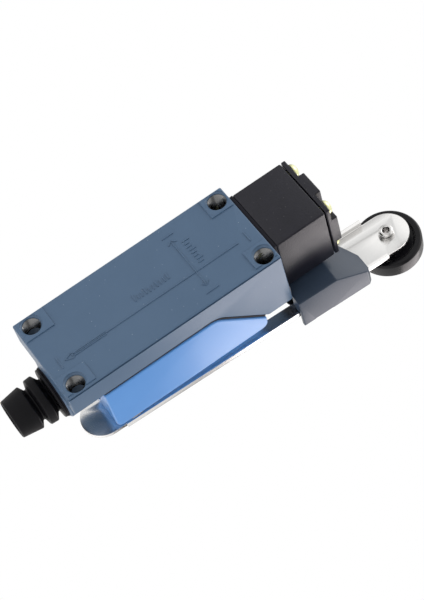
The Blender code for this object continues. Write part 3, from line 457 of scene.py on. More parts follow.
# %% Where the holes are
HOLE_X = 10.5 * MM
HOLE_Z = 28.0 * MM
HOLE_RADIUS = 2.5 * MM
HOLE_MOUTH = 2.95 * MM
UPPER_HOLE_DEPTH = 10.0 * MM
LOWER_HOLE_DEPTH = 5.8 * MM
HEAD_SCREW_X = 7.2 * MM
HEAD_SCREW_Y = (-3.1 * MM, -17.6 * MM)
SCREW_WAY = 1.5 * MM
GUIDE_Y = -10.0 * MM
GUIDE_WAY = 2.5 * MM
COVER_SCREWS = ((-8.8 * MM, -18.2 * MM), (8.8 * MM, 19.8 * MM))
FLOOR_SCREWS = ((-6.0 * MM, -8.0 * MM), (6.0 * MM, -8.0 * MM), (6.0 * MM, -17.0 * MM))
FLOOR_SCREW_WAY = 1.4 * MM
print("mounting holes", 2 * HOLE_X / MM, "by", 2 * HOLE_Z / MM, "mm apart")


# %% The seam between body and cover
SEAM_BEND = 6.0 * MM
SEAM_BEND_Z = 8.0 * MM
SEAM_SLANT = 44.0


def seam(offset, front):
    """The seam in (y, z): a bend from the straight tray edge, then the slant up to a front depth."""
    centre = (-(TRAY + SEAM_BEND), SEAM_BEND_Z)
    bend = arc(centre, SEAM_BEND - offset, 0.0, SEAM_SLANT, 12)
    slope = math.radians(SEAM_SLANT)
    run = (front + bend[-1][0]) / math.sin(slope)
    return bend + [(-front, bend[-1][1] + run * math.cos(slope))]


# %% The casting with its pads, boss, room and holes
def raised_pads():
    """A low pad round each mounting hole, cut short a little before the body's edges."""
    pads = []
    for side in (-1, 1):
        near, far = sorted((side * PAD_INSIDE, side * PAD_REACH[side]))
        for low, high in ((24.2 * MM, TOP - PAD_INSET), (BOTTOM + PAD_INSET, -23.2 * MM)):
            pads.append(soften(block((near, -1.0 * MM, low), (far, PAD_HEIGHT, high)), 0.1 * MM, 2))
    return pads


def body_drills():
    """The cable bore, the plunger's guide, the mounting holes and the ways of all the screws."""
    cuts = [rod("Z", (0.0, ENTRY_Y, 0.0), BOTTOM - 5 * MM, 0.0, ENTRY_BORE)]
    cuts.append(rod("Z", (0.0, GUIDE_Y, 0.0), 15 * MM, 40 * MM, GUIDE_WAY))
    for side in (-1, 1):
        for z, depth in ((HOLE_Z, UPPER_HOLE_DEPTH), (-HOLE_Z, LOWER_HOLE_DEPTH)):
            cuts.append(hole_cutter(side * HOLE_X, z, depth))
        for y in HEAD_SCREW_Y:
            cuts.append(rod("Z", (side * HEAD_SCREW_X, y, 0.0), 23.5 * MM, 40.0 * MM, SCREW_WAY, 24))
    for x, z in COVER_SCREWS:
        cuts.append(rod("Y", (x, 0.0, z), 11.0 * MM, 40.0 * MM, SCREW_WAY, 24))
    for x, z in FLOOR_SCREWS:
        cuts.append(rod("Y", (x, 0.0, z), 1.0 * MM, 4.0 * MM, FLOOR_SCREW_WAY, 24))
    return cuts


def make_body():
    """The block and tray, joined to pads, boss and saddle, hollowed, and drilled."""
    slant = list(reversed(seam(0.0, DEPTH)))
    outline = [(0.0, BOTTOM), (0.0, TOP), (-DEPTH, TOP)] + slant + [(-TRAY, BOTTOM)]
    casting = soften(slab(outline, -WIDE, WIDE, "YZ"), 0.4 * MM)
    boss = rod("Z", (0.0, ENTRY_Y, 0.0), BOTTOM, ROOM_BOTTOM, ENTRY_RADIUS, 72, 0.4 * MM)
    saddle_low = (-SADDLE_HALF, ENTRY_Y, BOTTOM + 0.05 * MM)
    saddle = block(saddle_low, (SADDLE_HALF, -5.0 * MM, ROOM_BOTTOM - 0.05 * MM))
    casting = combine(casting, raised_pads() + [boss, saddle], "UNION")
    room = block((-ROOM_HALF, -60.0 * MM, ROOM_BOTTOM), (ROOM_HALF, ROOM_FLOOR, ROOM_TOP))
    casting = combine(casting, [room])
    post_x, post_z = COVER_SCREWS[0]
    post = rod("Y", (post_x, 0.0, post_z), 1.6 * MM, 22.2 * MM, 2.6 * MM, 32)
    casting = combine(casting, [post], "UNION")
    rim = -WIDE + 0.4 * MM
    parting = block((-20 * MM, -0.85 * MM, BOTTOM - 1 * MM), (rim, -0.25 * MM, TOP + 1 * MM))
    return combine(casting, body_drills() + [parting])


def hole_cutter(x, z, depth):
    """A blind threaded hole's outside, with a small countersink at its mouth on the back face."""
    profile = [(0.0, depth), (HOLE_RADIUS, depth - 1.2 * MM), (HOLE_RADIUS, 0.35 * MM),
               (HOLE_MOUTH, -0.1 * MM), (HOLE_MOUTH, -1.0 * MM), (0.0, -1.0 * MM)]
    return lathe(profile, "Y", (x, 0.0, z))


place_piece("body_casting", make_body(), enamel, "body", ["housing"])

# %% [markdown]
# ## Screw threads in the mounting holes
# A thread is the same ridge again and again, so Geometry Nodes make it. One ridge ring is set along a line,
# one pitch apart, and each stack stands in its hole. The tree ends in Realize Instances, because
# only real geometry can be kept, and the result is turned into a plain mesh.

# %% A tree that repeats a piece along a line
def add_input(tree, name, kind, value=None):
    """Add a named input to a tree and give back the identifier that a modifier needs."""
    socket = tree.interface.new_socket(name, in_out="INPUT", socket_type=kind)
    if value is not None:
        socket.default_value = value
    return socket.identifier


def repeat_tree(name, source_kind, material):
    """Points on a line or a circle, with the piece on each, turned to face out on a circle."""
    tree = bpy.data.node_groups.new(name, "GeometryNodeTree")
    tree.interface.new_socket("Geometry", in_out="OUTPUT", socket_type="NodeSocketGeometry")
    ids = {"Piece": add_input(tree, "Piece", "NodeSocketObject")}
    ids["Count"] = add_input(tree, "Count", "NodeSocketInt", 4)
    start = tree.nodes.new("NodeGroupInput")
    piece = tree.nodes.new("GeometryNodeObjectInfo")
    piece.transform_space = "ORIGINAL"
    spread = tree.nodes.new("GeometryNodeInstanceOnPoints")
    real = tree.nodes.new("GeometryNodeRealizeInstances")
    dress = tree.nodes.new("GeometryNodeSetMaterial")
    dress.inputs["Material"].default_value = material
    end = tree.nodes.new("NodeGroupOutput")
    if source_kind == "LINE":
        ids["Start"] = add_input(tree, "Start", "NodeSocketVector")
        ids["Step"] = add_input(tree, "Step", "NodeSocketVector")
        points = tree.nodes.new("GeometryNodeMeshLine")
        points.mode = "OFFSET"
        tree.links.new(start.outputs["Start"], points.inputs["Start Location"])
        tree.links.new(start.outputs["Step"], points.inputs["Offset"])
        tree.links.new(start.outputs["Count"], points.inputs["Count"])
    else:
        ids["Radius"] = add_input(tree, "Radius", "NodeSocketFloat", 0.002)
        points = tree.nodes.new("GeometryNodeMeshCircle")
        spot = tree.nodes.new("GeometryNodeInputPosition")
        turn = tree.nodes.new("FunctionNodeAlignRotationToVector")
        turn.axis = "X"
        tree.links.new(start.outputs["Count"], points.inputs["Vertices"])
        tree.links.new(start.outputs["Radius"], points.inputs["Radius"])
        tree.links.new(spot.outputs["Position"], turn.inputs["Vector"])
        tree.links.new(turn.outputs["Rotation"], spread.inputs["Rotation"])
    tree.links.new(points.outputs["Mesh"], spread.inputs["Points"])
    tree.links.new(start.outputs["Piece"], piece.inputs["Object"])
    tree.links.new(piece.outputs["Geometry"], spread.inputs["Instance"])
    tree.links.new(spread.outputs["Instances"], real.inputs["Geometry"])
    tree.links.new(real.outputs["Geometry"], dress.inputs["Geometry"])
    tree.links.new(dress.outputs["Geometry"], end.inputs["Geometry"])
    return tree, ids


def repeat(tree, ids, piece, **values):
    """Run a repeat tree once and give back the result as a bmesh. The pattern piece is removed."""
    carrier = as_object(bmesh.new(), "carrier")
    step = carrier.modifiers.new("repeat", "NODES")
    step.node_group = tree
    step[ids["Piece"]] = piece
    for name, value in values.items():
        step[ids[name]] = value
    mesh = evaluated_mesh(carrier)
    carrier.modifiers.remove(step)
    bm = bmesh.new()
    bm.from_mesh(mesh)
    bpy.data.objects.remove(carrier, do_unlink=True)
    bpy.data.objects.remove(piece, do_unlink=True)
    bpy.data.meshes.remove(mesh)
    return bm


def gather(pieces):
    """Put several loose bmeshes into one, as parts of one piece."""
    whole = bmesh.new()
    for bm in pieces:
        mesh = bpy.data.meshes.new("part")
        bm.to_mesh(mesh)
        bm.free()
        whole.from_mesh(mesh)
        bpy.data.meshes.remove(mesh)
    return whole


# %% Threads in the four mounting holes
PITCH = 0.9 * MM
FIRST_RIDGE_Y = -1.0 * MM
RIDGE_FOOT = 2.46 * MM
RIDGE_CREST = 2.08 * MM
RIDGE_HALF = 0.36 * MM
line_tree, line_ids = repeat_tree("along_a_line", "LINE", thread_metal_painted_shade)


def ridge():
    """One thread ridge: a ring of triangular section that points inwards."""
    profile = [(RIDGE_FOOT, RIDGE_HALF), (RIDGE_FOOT, -RIDGE_HALF), (RIDGE_CREST, 0.0)]
    return as_object(lathe(profile, "Y", (0.0, 0.0, 0.0), 40), "ridge")


stacks = []
for x in (-HOLE_X, HOLE_X):
    for z, turns in ((HOLE_Z, 9), (-HOLE_Z, 5)):
        stacks.append(repeat(line_tree, line_ids, ridge(), Count=turns, Start=(x, FIRST_RIDGE_Y, z),
                             Step=(0.0, -PITCH, 0.0)))
place_piece("mounting_threads", gather(stacks), thread_metal_painted_shade, "body")

# %% [markdown]
# ## The drawing cast on the back
# Thin raised lines show the hole pattern: a long line with an arrowhead along the body, a cross line with
# two arrowheads, and a bar near each end. A row of plain ticks stands where figures would be.

# %% Raised lines and ticks
LINE_HEIGHT = 0.22 * MM
TICK_STEP = 1.1


def raised_line(start, end, width=0.3):
    """A low bar on the back face between two (x, z) points in millimetres."""
    a = Vector(start) * MM
    b = Vector(end) * MM
    across = (b - a).normalized().orthogonal() * width * MM / 2.0
    corners = [a + across, b + across, b - across, a - across]
    outline = [(p.x, p.y) for p in corners]
    return soften(slab(outline, -LINE_HEIGHT, 0.1 * MM, "XZ"), 0.06 * MM, 1)


def make_drawing():
    """The lines, arrowheads and bars, all in millimetres on the back face, and two rows of ticks."""
    lines = [((-3.5, -23.8), (-3.5, 25.1)), ((7.8, 12.4), (-8.1, 12.4))]
    lines += [((-3.9, -24.6), (-3.9, -14.5)), ((-3.1, -24.6), (-3.1, -14.5))]
    lines += [((-3.5, -26.6), (-2.6, -24.3)), ((-3.5, -26.6), (-4.4, -24.3)), ((-2.6, -24.3), (-4.4, -24.3))]
    lines += [((8.2, 12.4), (7.2, 13.6)), ((8.2, 12.4), (7.2, 11.2))]
    lines += [((-8.4, 12.4), (-7.4, 13.4)), ((-8.4, 12.4), (-7.4, 11.4))]
    lines += [((9.9, 10.9), (9.9, 14.3)), ((-10.5, 10.8), (-10.5, 14.6))]
    lines += [((-1.3, -28.1), (-5.2, -28.1)), ((-1.6, 27.9), (-5.0, 27.9))]
    along = [-3.8 + TICK_STEP * k for k in range(10)]
    across = [6.0 - TICK_STEP * k for k in range(8)]
    ticks = [((-0.9, z), (0.6 if k % 3 else 1.2, z)) for k, z in enumerate(along)]
    ticks += [((x, 14.4), (x, 15.9 if k % 3 else 16.5)) for k, x in enumerate(across)]
    return gather([raised_line(a, b) for a, b in lines + ticks])


place_piece("cast_drawing", make_drawing(), enamel, "body")

# %% [markdown]
# ## The blue cover
# The cover is a deep moulded tub. Its flanks lie flush with the casting and follow the seam, with a dark
# gasket between. The thin bright lines along its edges are small radii that catch the light, so the
# radii are real geometry. The end wall has a round cut-out that straddles the cable boss.

# %% The tub, its hollow and its screw seats
cover_low, cover_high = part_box("cover")
COVER_SEAT = 23.6 * MM
COVER_WALL = 1.75 * MM
COVER_CORNER = 2.0 * MM


def cover_outline():
    """The tub from the side: two round front corners and an edge that follows the seam."""
    front, low, high = cover_low[1], cover_low[2], cover_high[2]
    edge = [point for point in seam(1.0 * MM, DEPTH + 0.8 * MM) if point[1] < high - 0.2 * MM]
    crest = edge[-1][0] - (high - edge[-1][1]) * math.tan(math.radians(SEAM_SLANT))
    lower = arc((front + COVER_CORNER, low + COVER_CORNER), COVER_CORNER, 270, 180, 8)
    upper = arc((front + COVER_CORNER, high - COVER_CORNER), COVER_CORNER, 180, 90, 8)
    return lower + upper + [(crest, high)] + list(reversed(edge)) + [(edge[0][0], low)]


def make_cover():
    """The tub, hollowed, opened for the cable boss, and drilled for its two screws."""
    front, low, high = cover_low[1], cover_low[2], cover_high[2]
    half = cover_high[0]
    tub = soften(slab(cover_outline(), -half, half, "YZ"), 0.45 * MM, 4)
    inner_low = (-half + COVER_WALL, front + COVER_WALL, low + COVER_WALL)
    inner_high = (half - COVER_WALL, 5 * MM, high - COVER_WALL)
    hollow = soften(block(inner_low, inner_high), 0.6 * MM, 2)
    radius = ENTRY_RADIUS + 0.25 * MM
    cuts = [hollow, rod("Z", (0.0, ENTRY_Y, 0.0), low - 5 * MM, ROOM_BOTTOM + 1 * MM, radius, 72)]
    cuts.append(block((-radius, ENTRY_Y, low - 5 * MM), (radius, 5 * MM, ROOM_BOTTOM + 1 * MM)))
    for x, z in COVER_SCREWS:
        cuts.append(rod("Y", (x, 0.0, z), 15 * MM, 60 * MM, SCREW_WAY, 24))
        cuts.append(rod("Y", (x, 0.0, z), COVER_SEAT, 60 * MM, 2.6 * MM))
    return combine(tub, cuts)


place_piece("cover_tub", make_cover(), blue_cover, "body", ["cover"])

# %% [markdown]
# ## Pan head screws
# One screw is turned and its cross recess is cut. The repeat tree then sets copies where they belong:
# four yellow zinc ones in the corners of the head's cap, and two in the cover.

# %% One screw, repeated
def pan_screw(axis, seat, tip, radius, height, shank):
    """Seat is where the head's underside is and tip the shank's end, along +Z or along -Y."""
    dome = arc((0.0, 0.0), 1.0, 80, 8, 6)
    head = [(radius * u, seat + height * v) for u, v in dome]
    stem = [(radius, seat), (shank, seat), (shank, tip + shank / 2), (shank / 2, tip), (0.0, tip)]
    profile = [(0.0, seat + height)] + head + stem
    solid = lathe(profile, axis, (0.0, 0.0, 0.0), 40)
    width, reach = radius * 0.17, radius * 0.62
    floor_at, over = seat + height * 0.4, seat + height + 1 * MM
    bars = []
    for u, v in ((width, reach), (reach, width)):
        if axis == "Z":
            bars.append(block((-u, -v, floor_at), (u, v, over)))
        else:
            bars.append(block((-u, -over, -v), (u, -floor_at, v)))
    return combine(solid, bars)


cap_low, cap_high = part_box("head_cap")
CAP_SHOULDER = 48.4 * MM
SCREW_SHANK = 1.2 * MM
screw_tree, screw_ids = repeat_tree("screws_in_a_row", "LINE", yellow_zinc)
rows = []
for x in (-HEAD_SCREW_X, HEAD_SCREW_X):
    screw = pan_screw("Z", CAP_SHOULDER + 0.2 * MM, 24.0 * MM, 2.0 * MM, 1.45 * MM, SCREW_SHANK)
    rows.append(repeat(screw_tree, screw_ids, as_object(screw, "screw"), Count=2,
                       Start=(x, HEAD_SCREW_Y[0], 0.0), Step=(0.0, HEAD_SCREW_Y[1] - HEAD_SCREW_Y[0], 0.0)))
four_screws = [f"head_screw_{k}" for k in range(1, 5)]
place_piece("cap_screws", gather(rows), yellow_zinc, "body", four_screws)

steel_tree, steel_ids = repeat_tree("cover_screws_in_a_row", "LINE", turned_steel)
screw = as_object(pan_screw("Y", COVER_SEAT + 0.2 * MM, 11.5 * MM, 2.2 * MM, 1.35 * MM, SCREW_SHANK), "screw")
(x1, z1), (x2, z2) = COVER_SCREWS
pair = repeat(steel_tree, steel_ids, screw, Count=2, Start=(x1, 0.0, z1), Step=(x2 - x1, 0.0, z2 - z1))
place_piece("cover_screw_pair", pair, turned_steel, "body", ["cover_screw_1", "cover_screw_2"])

# %% [markdown]
# ## The rotary head
# The head is a squared black box, dull with a tool-worn grain, that holds the shaft, its bush and
# the cam. Its cap is a low plate with a raised cross, which leaves a pocket for a screw in each corner.

# %% The head box and its cap
head_low, head_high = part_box("head_housing")
SHAFT_Z = 40.0 * MM
SHAFT_WAY = 3.25 * MM
BUSH_WAY = 5.3 * MM
CAVE_HALF = 5.5 * MM
CAVE_FRONT = -16.6 * MM
CAVE_BACK = -3.2 * MM
CAVE_FLOOR = 34.6 * MM


def screw_ways(low, high):
    """Drills for the four head screws, between two heights."""
    places = [(x, y, 0.0) for x in (-HEAD_SCREW_X, HEAD_SCREW_X) for y in HEAD_SCREW_Y]
    return [rod("Z", place, low, high, SCREW_WAY, 24) for place in places]


def make_head():
    """The box with the cam's cave, the shaft's bearing ways and the plunger's guide."""
    box = soften(block(head_low, head_high), 0.45 * MM, 4)
    cuts = [block((-CAVE_HALF, CAVE_FRONT, CAVE_FLOOR), (CAVE_HALF, CAVE_BACK, 60 * MM))]
    cuts.append(rod("Y", (0.0, 0.0, SHAFT_Z), 10 * MM, 30 * MM, BUSH_WAY))
    cuts.append(rod("Y", (0.0, 0.0, SHAFT_Z), 1.7 * MM, 5 * MM, SHAFT_WAY))
    cuts.append(rod("Z", (0.0, GUIDE_Y, 0.0), 30 * MM, 36 * MM, GUIDE_WAY))
    return combine(box, cuts + screw_ways(30 * MM, 60 * MM))


def make_cap():
    """A low plate with a raised cross on it, and a way for a screw in each corner."""
    arm_x, arm_back, arm_front = 3.7 * MM, -5.3 * MM, -15.3 * MM
    left, right_side = cap_low[0], cap_high[0]
    back, front = cap_high[1], cap_low[1]
    plate = soften(block(cap_low, (right_side, back, CAP_SHOULDER)), 0.3 * MM)
    cross = [(-arm_x, front), (arm_x, front), (arm_x, arm_front), (right_side, arm_front),
             (right_side, arm_back), (arm_x, arm_back), (arm_x, back), (-arm_x, back),
             (-arm_x, arm_back), (left, arm_back), (left, arm_front), (-arm_x, arm_front)]
    raised = soften(slab(cross, cap_low[2] + 0.02 * MM, cap_high[2], "XY"), 0.35 * MM)
    cap = combine(plate, [raised], "UNION")
    return combine(cap, screw_ways(40 * MM, 60 * MM))


def make_seal():
    """The flat gasket under the head. It is squeezed out flush with the head's sides."""
    margin = 0.02 * MM
    low = (head_low[0] + margin, head_low[1] + margin, TOP + 0.03 * MM)
    high = (head_high[0] - margin, head_high[1] - margin, head_low[2] - 0.03 * MM)
    sheet = soften(block(low, high), 0.06 * MM, 2)
    guide = rod("Z", (0.0, GUIDE_Y, 0.0), 25 * MM, 40 * MM, GUIDE_WAY)
    return combine(sheet, screw_ways(25 * MM, 40 * MM) + [guide])


place_piece("head_seal", make_seal(), seal_rubber, "body", ["head_gasket"])
place_piece("head_box", make_head(), grained_black, "body", ["head_housing"])
place_piece("cap_plate", make_cap(), grained_black, "body", ["head_cap"])

# %% [markdown]
# ## The cable grip
# The rubber grip is a bellows: two rings and a long cup, each sloping out slowly on the body's side and
# falling back steeply, with deep necks between. A turned profile with rounded corners says exactly that.

# %% Flange and bellows
def rounded(points, radius, count=4):
    """A profile with each inner corner replaced by a small curve."""
    result = [points[0]]
    for before, corner, after in zip(points, points[1:], points[2:]):
        c = Vector(corner)
        a = c + (Vector(before) - c).normalized() * min(radius, (Vector(before) - c).length * 0.45)
        b = c + (Vector(after) - c).normalized() * min(radius, (Vector(after) - c).length * 0.45)
        for k in range(count + 1):
            t = k / count
            point = a * (1 - t) ** 2 + c * 2 * t * (1 - t) + b * t ** 2
            result.append((point.x, point.y))
    return result + [points[-1]]


def millimetres(points):
    """A profile given in millimetres, in metres."""
    return [(r * MM, h * MM) for r, h in points]


grip_place = (0.0, ENTRY_Y, 0.0)
flange = [(5.1, -20.2), (5.1, -32.4), (7.05, -32.4), (6.95, -33.05), (4.6, -33.15), (3.6, -33.15),
          (3.6, -20.2)]
gland = lathe(millimetres(rounded(flange, 0.15)), "Z", grip_place, 72)
place_piece("gland_flange", gland, moulded_black, "body", ["gland_body"])
bellows = [(3.6, -33.3), (4.75, -33.3), (4.75, -33.75), (6.6, -34.85), (6.45, -36.95), (4.5, -37.5),
           (4.4, -38.0), (6.1, -39.0), (5.3, -44.5), (4.9, -44.65), (4.6, -44.3), (3.6, -43.4), (3.6, -33.3)]
grip = lathe(millimetres(rounded(bellows, 0.28)[:-1]), "Z", grip_place, 96)
place_piece("bellows_grip", grip, grip_rubber, "body", ["cable_grip"])

# %% [markdown]
# ## The lever clamp
# Everything on the lever is drawn from the shaft's axis and then tilted a little, as it was clamped. The
# casting has a back that slopes away above the shaft, a thick flank that hides the strip's edge, a round
# boss, and two split ears that a socket screw draws together.

# %% The lever's own frame
LEVER_TILT = math.radians(-1.9)
lever_frame = Matrix.Translation((0.0, 0.0, SHAFT_Z)) @ Matrix.Rotation(LEVER_TILT, 4, "Y")
STRIP_X = -7.6 * MM
STRIP_HALF = 7.0 * MM
SHEET = 1.0 * MM
BOLT_Z = -4.2 * MM
EAR = 4.4 * MM
EAR_END = 11.2 * MM
PINCH_X = 8.3 * MM
PINCH_Y = -23.7 * MM


def on_lever(bm):
    """Move a solid from the lever's own frame into the switch's."""
    bmesh.ops.transform(bm, matrix=lever_frame, verts=bm.verts)
    return bm


# %% The clamp casting
BOSS_RADIUS = 6.6 * MM
CLAMP_LEFT = -15.8 * MM
CLAMP_TOP = 13.3 * MM
CLAMP_LOW = -8.1 * MM
CLAMP_BACK = 21.0 * MM
CLAMP_FRONT = 31.8 * MM


def clamp_outline():
    """The clamp seen along the shaft: flank, slanted shoulder, boss and the two ears as one."""
    ear_angle = math.degrees(math.asin(EAR / BOSS_RADIUS))
    outline = [(-12.3 * MM, CLAMP_LOW), (CLAMP_LEFT, CLAMP_LOW), (CLAMP_LEFT, CLAMP_TOP - 1.0 * MM)]
    outline += [(CLAMP_LEFT + 1.0 * MM, CLAMP_TOP), (-9.85 * MM, CLAMP_TOP)]
    outline += arc((0.0, 0.0), BOSS_RADIUS, 60, ear_angle, 8) + [(EAR_END, EAR), (EAR_END, -EAR)]
    return outline + arc((0.0, 0.0), BOSS_RADIUS, -ear_angle, -90, 14) + [(-10.0 * MM, -7.0 * MM)]


def clamp_drills():
    """The shaft's bore, the split between the ears, two screw ways and the flank's notch."""
    cuts = [rod("Y", (0.0, 0.0, 0.0), 0.0, 26.6 * MM, SHAFT_WAY, 56)]
    cuts.append(block((2.0 * MM, -30 * MM, -0.6 * MM), (20 * MM, -10 * MM, 0.6 * MM)))
    cuts.append(rod("Z", (PINCH_X, PINCH_Y, 0.0), -20 * MM, 20 * MM, 1.7 * MM, 32))
    cuts.append(rod("Y", (STRIP_X, 0.0, BOLT_Z), 22.4 * MM, 60 * MM, 2.0 * MM, 32))
    cuts.append(block((-16.5 * MM, -32.5 * MM, -4.7 * MM), (-14 * MM, -31.45 * MM, 0.8 * MM)))
    return cuts


def make_clamp():
    """The outline is sloped behind, softened, given its channel, then its wall, pad and drills."""
    casting = slab(clamp_outline(), CLAMP_BACK, CLAMP_FRONT, "XZ")
    slope = [(-16 * MM, 3.5 * MM), (-21.0 * MM, 3.5 * MM), (-29.6 * MM, 20 * MM), (-16 * MM, 20 * MM)]
    casting = combine(casting, [slab(slope, -30 * MM, 30 * MM, "YZ")])
    bmesh.ops.dissolve_limit(casting, angle_limit=math.radians(1.0), verts=casting.verts, edges=casting.edges)
    casting = soften(casting, 0.55 * MM, 4, sharper_than=20.0)
    channel = block((STRIP_X - STRIP_HALF - 0.25 * MM, -50 * MM, -30 * MM), (30 * MM, -26.4 * MM, 30 * MM))
    casting = combine(casting, [channel])
    right_wall = block((0.05 * MM, -CLAMP_FRONT, -5.6 * MM), (1.3 * MM, -25.6 * MM, 5.2 * MM))
    right_wall = soften(right_wall, 0.25 * MM)
    pad = block((STRIP_X - 5.75 * MM, -27.85 * MM, -6.4 * MM), (STRIP_X + 5.75 * MM, -25.6 * MM, 9.0 * MM))
    casting = combine(casting, [right_wall, pad], "UNION")
    return on_lever(combine(casting, clamp_drills()))


place_piece("clamp_casting", make_clamp(), clamp_enamel_painted_shade, "clamp_set", ["lever_clamp"])

# %% [markdown]
# ## Bolt, washer and knurled screw
# A hexagon bolt pinches the strip against the clamp, over a black washer that shows in the slot. The screw
# in the ears has a knurled head: small ribs repeated on a circle, which the tree turns to face outwards.

# %% The clamp's fasteners
def hexagon(centre, across):
    """Six corners from the width across the flats."""
    radius = across / math.sqrt(3.0)
    turns = [k * math.tau / 6 for k in range(6)]
    return [(centre[0] + radius * math.cos(a), centre[1] + radius * math.sin(a)) for a in turns]


def make_bolt():
    """A hexagon head whose corners are turned off, on a plain shank."""
    seat, crown = 30.2, 32.2
    head = slab(hexagon((STRIP_X, BOLT_Z), 6.6 * MM), seat * MM, crown * MM, "XZ")
    turned = millimetres([(0.0, crown), (3.1, crown), (4.0, 31.7), (4.0, seat), (0.0, seat)])
    head = combine(head, [lathe(turned, "Y", (STRIP_X, 0.0, BOLT_Z), 48)], "INTERSECT")
    shank = rod("Y", (STRIP_X, 0.0, BOLT_Z), 22.9 * MM, 31.0 * MM, 1.7 * MM, 40, 0.2 * MM)
    return on_lever(combine(head, [shank], "UNION"))


RIBS = 28
RIB_CIRCLE = 2.12 * MM


def make_pinch_screw():
    """A socket head screw with ribs round its head."""
    base = EAR + 0.25 * MM
    place = (PINCH_X, PINCH_Y, 0.0)
    head = rod("Z", place, base, base + 2.4 * MM, 2.1 * MM, 48, 0.2 * MM)
    shank = rod("Z", place, -4.0 * MM, base + 0.5 * MM, 1.4 * MM, 32, 0.2 * MM)
    socket = slab(hexagon(place, 2.4 * MM), base + 1.0 * MM, base + 5.0 * MM, "XY")
    screw = combine(combine(head, [shank], "UNION"), [socket])
    ring_tree, ring_ids = repeat_tree("ribs_on_a_circle", "CIRCLE", black_oxide)
    rib = soften(block((-0.06 * MM, -0.11 * MM, 0.3 * MM), (0.1 * MM, 0.11 * MM, 2.0 * MM)), 0.04 * MM, 1)
    ribs = repeat(ring_tree, ring_ids, as_object(rib, "rib"), Count=RIBS, Radius=RIB_CIRCLE)
    bmesh.ops.translate(ribs, verts=ribs.verts, vec=(PINCH_X, PINCH_Y, base))
    return on_lever(gather([screw, ribs]))


place_piece("hexagon_bolt", make_bolt(), yellow_zinc, "clamp_set", ["strip_bolt"])
place_piece("knurled_screw", make_pinch_screw(), black_oxide, "clamp_set", ["clamp_screw"])
washer = rounded([(2.0, 29.35), (4.3, 29.35), (4.3, 29.95), (2.0, 29.95), (2.0, 29.35)], 0.15)[:-1]
washer_ring = on_lever(lathe(millimetres(washer), "Y", (STRIP_X, 0.0, BOLT_Z), 56))
place_piece("pinch_washer", washer_ring, black_oxide, "clamp_set", ["strip_washer"])

# %% [markdown]
# ## The lever strip
# The strip is polished stainless sheet, one millimetre thick, bent into a very low channel. Its web runs
# on past the two flanges and ends in half circles. The bends are made as arcs in the channel's section, and a
# long slot lets the bolt be slid along.

# %% Web, bent flanges and slot
WEB_BACK = 28.1 * MM
WEB_FRONT = WEB_BACK + SHEET
LOWER_END = -64.1 * MM
UPPER_END = 23.4 * MM
FLANGE_EDGE = -26.7 * MM
FLANGE_LOW = -60.5 * MM
FLANGE_TOP = 19.6 * MM
OUTER_BEND = 1.15 * MM
INNER_BEND = 0.2 * MM
SLOT_HALF = 2.7 * MM
SLOT_LOW = -56.3 * MM
SLOT_TOP = -0.7 * MM
RIVET_HOLE = 1.75 * MM


def bar_outline(half, low, high, count=24):
    """A bar with half-round ends, centred on the strip."""
    return arc((STRIP_X, low), half, -180, 0, count) + arc((STRIP_X, high), half, 0, 180, count)


def channel_section():
    """The channel across the strip, in (x, y): the outer bends one way round, the inner ones back."""
    left, right_side = STRIP_X - STRIP_HALF, STRIP_X + STRIP_HALF
    low = -WEB_FRONT + OUTER_BEND
    high = -WEB_BACK + INNER_BEND
    outer = [(left, FLANGE_EDGE)] + arc((left + OUTER_BEND, low), OUTER_BEND, 180, 270, 7)
    outer += arc((right_side - OUTER_BEND, low), OUTER_BEND, 270, 360, 7) + [(right_side, FLANGE_EDGE)]
    inner = [(right_side - SHEET, FLANGE_EDGE)]
    inner += arc((right_side - SHEET - INNER_BEND, high), INNER_BEND, 0, -90, 4)
    inner += arc((left + SHEET + INNER_BEND, high), INNER_BEND, -90, -180, 4)
    return outer + inner + [(left + SHEET, FLANGE_EDGE)]


def make_strip():
    """The round-ended web joined to its channel, then slotted and drilled for the rivet."""
    web = slab(bar_outline(STRIP_HALF - SHEET, LOWER_END, UPPER_END), WEB_BACK, WEB_FRONT, "XZ")
    channel = slab(channel_section(), FLANGE_LOW, FLANGE_TOP, "XY")
    strip = combine(web, [channel], "UNION")
    slot = slab(bar_outline(SLOT_HALF, SLOT_LOW, SLOT_TOP, 14), 20 * MM, 40 * MM, "XZ")
    hole = rod("Y", (STRIP_X, 0.0, UPPER_END), 20 * MM, 40 * MM, RIVET_HOLE, 40)
    strip = combine(strip, [slot, hole])
    bmesh.ops.dissolve_limit(strip, angle_limit=math.radians(0.5), verts=strip.verts, edges=strip.edges)
    return on_lever(soften(strip, 0.10 * MM, 2, sharper_than=50.0))


place_piece("stainless_strip", make_strip(), drawn_steel, "arm", ["lever_strip"])

# %% [markdown]
# ## The roller and its rivet
# The nylon roller turns on a steel bush. A tubular rivet holds it to the strip: its head is on the outside,
# and its other end is rolled over into a small collar on the back of the strip.

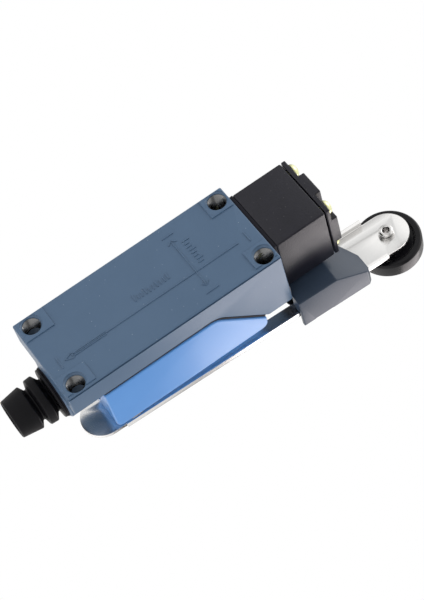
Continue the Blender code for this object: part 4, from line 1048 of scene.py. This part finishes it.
# %% Roller, rivet, spacer and bush
ROLLER_MIDDLE = 33.2
roller_at = (STRIP_X, 0.0, UPPER_END)
face = [(2.95, 30.8), (4.2, 30.8), (4.6, 31.4), (6.8, 31.4), (7.2, 30.8), (8.6, 30.8), (9.0, 31.3)]
far_face = [(radius, 2 * ROLLER_MIDDLE - height) for radius, height in reversed(face)]
roller = rounded(face + far_face + [face[0]], 0.25, 3)[:-1]
place_piece("nylon_roller", on_lever(lathe(millimetres(roller), "Y", roller_at, 112)), wheel_nylon,
            "roller_wheel", ["roller"])
rivet = rounded([(0.9, 36.6), (3.2, 36.6), (3.2, 35.9), (1.5, 35.9), (1.5, 28.0), (1.9, 27.6), (1.9, 27.0),
                 (1.55, 26.6), (1.0, 26.7), (0.9, 27.2), (0.9, 36.6)], 0.2, 4)[:-1]
place_piece("tubular_rivet", on_lever(lathe(millimetres(rivet), "Y", roller_at, 64)), turned_steel,
            "arm", ["roller_rivet"])
for name, node, outer, near, far in (("roller_spacer", "roller_washer", 4.2, 29.4, 30.5),
                                     ("roller_sleeve", "roller_bush", 2.9, 30.8, 35.6)):
    section = rounded([(1.8, near), (outer, near), (outer, far), (1.8, far), (1.8, near)], 0.1)[:-1]
    ring = lathe(millimetres(section), "Y", roller_at, 64)
    place_piece(name, on_lever(ring), turned_steel, "arm", [node])

# %% [markdown]
# ## The spring under the contacts
# A compression spring gets shorter when the button is pushed. Here it is swept along a helix that fills
# the CAD spring's box, and it rides on the body at that one length.

# %% The contact spring
def make_spring(centre, low, high, radius, wire, turns, steps=24, sides=8):
    """A round wire swept along a helix, both ends closed."""
    bm = bmesh.new()
    rings = []
    upwards = Vector((0, 0, 1))
    around = [math.tau * j / sides for j in range(sides)]
    for k in range(turns * steps + 1):
        angle = math.tau * k / steps
        outwards = Vector((math.cos(angle), math.sin(angle), 0.0))
        spot = Vector((*centre, low + (high - low) * k / (turns * steps))) + outwards * radius
        section = [spot + wire * (math.cos(a) * outwards + math.sin(a) * upwards) for a in around]
        rings.append([bm.verts.new(point) for point in section])
    for first, second in zip(rings, rings[1:]):
        for j in range(sides):
            bm.faces.new((first[j], first[j - 1], second[j - 1], second[j]))
    bm.faces.new(rings[0])
    bm.faces.new(reversed(rings[-1]))
    bmesh.ops.recalc_face_normals(bm, faces=bm.faces)
    return bm


spring_low, spring_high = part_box("contact_spring")
SPRING_WIRE = 0.25 * MM
SPRING_AT = (0.0, (spring_low[1] + spring_high[1]) / 2.0)
SPRING_RADIUS = 1.6 * MM
SPRING_TURNS = 5
coil = make_spring(SPRING_AT, spring_low[2] + SPRING_WIRE, spring_high[2] - SPRING_WIRE, SPRING_RADIUS,
                   SPRING_WIRE, SPRING_TURNS)
spring = place_piece("contact_coil", coil, turned_steel, "body", ["contact_spring"])
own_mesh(spring)
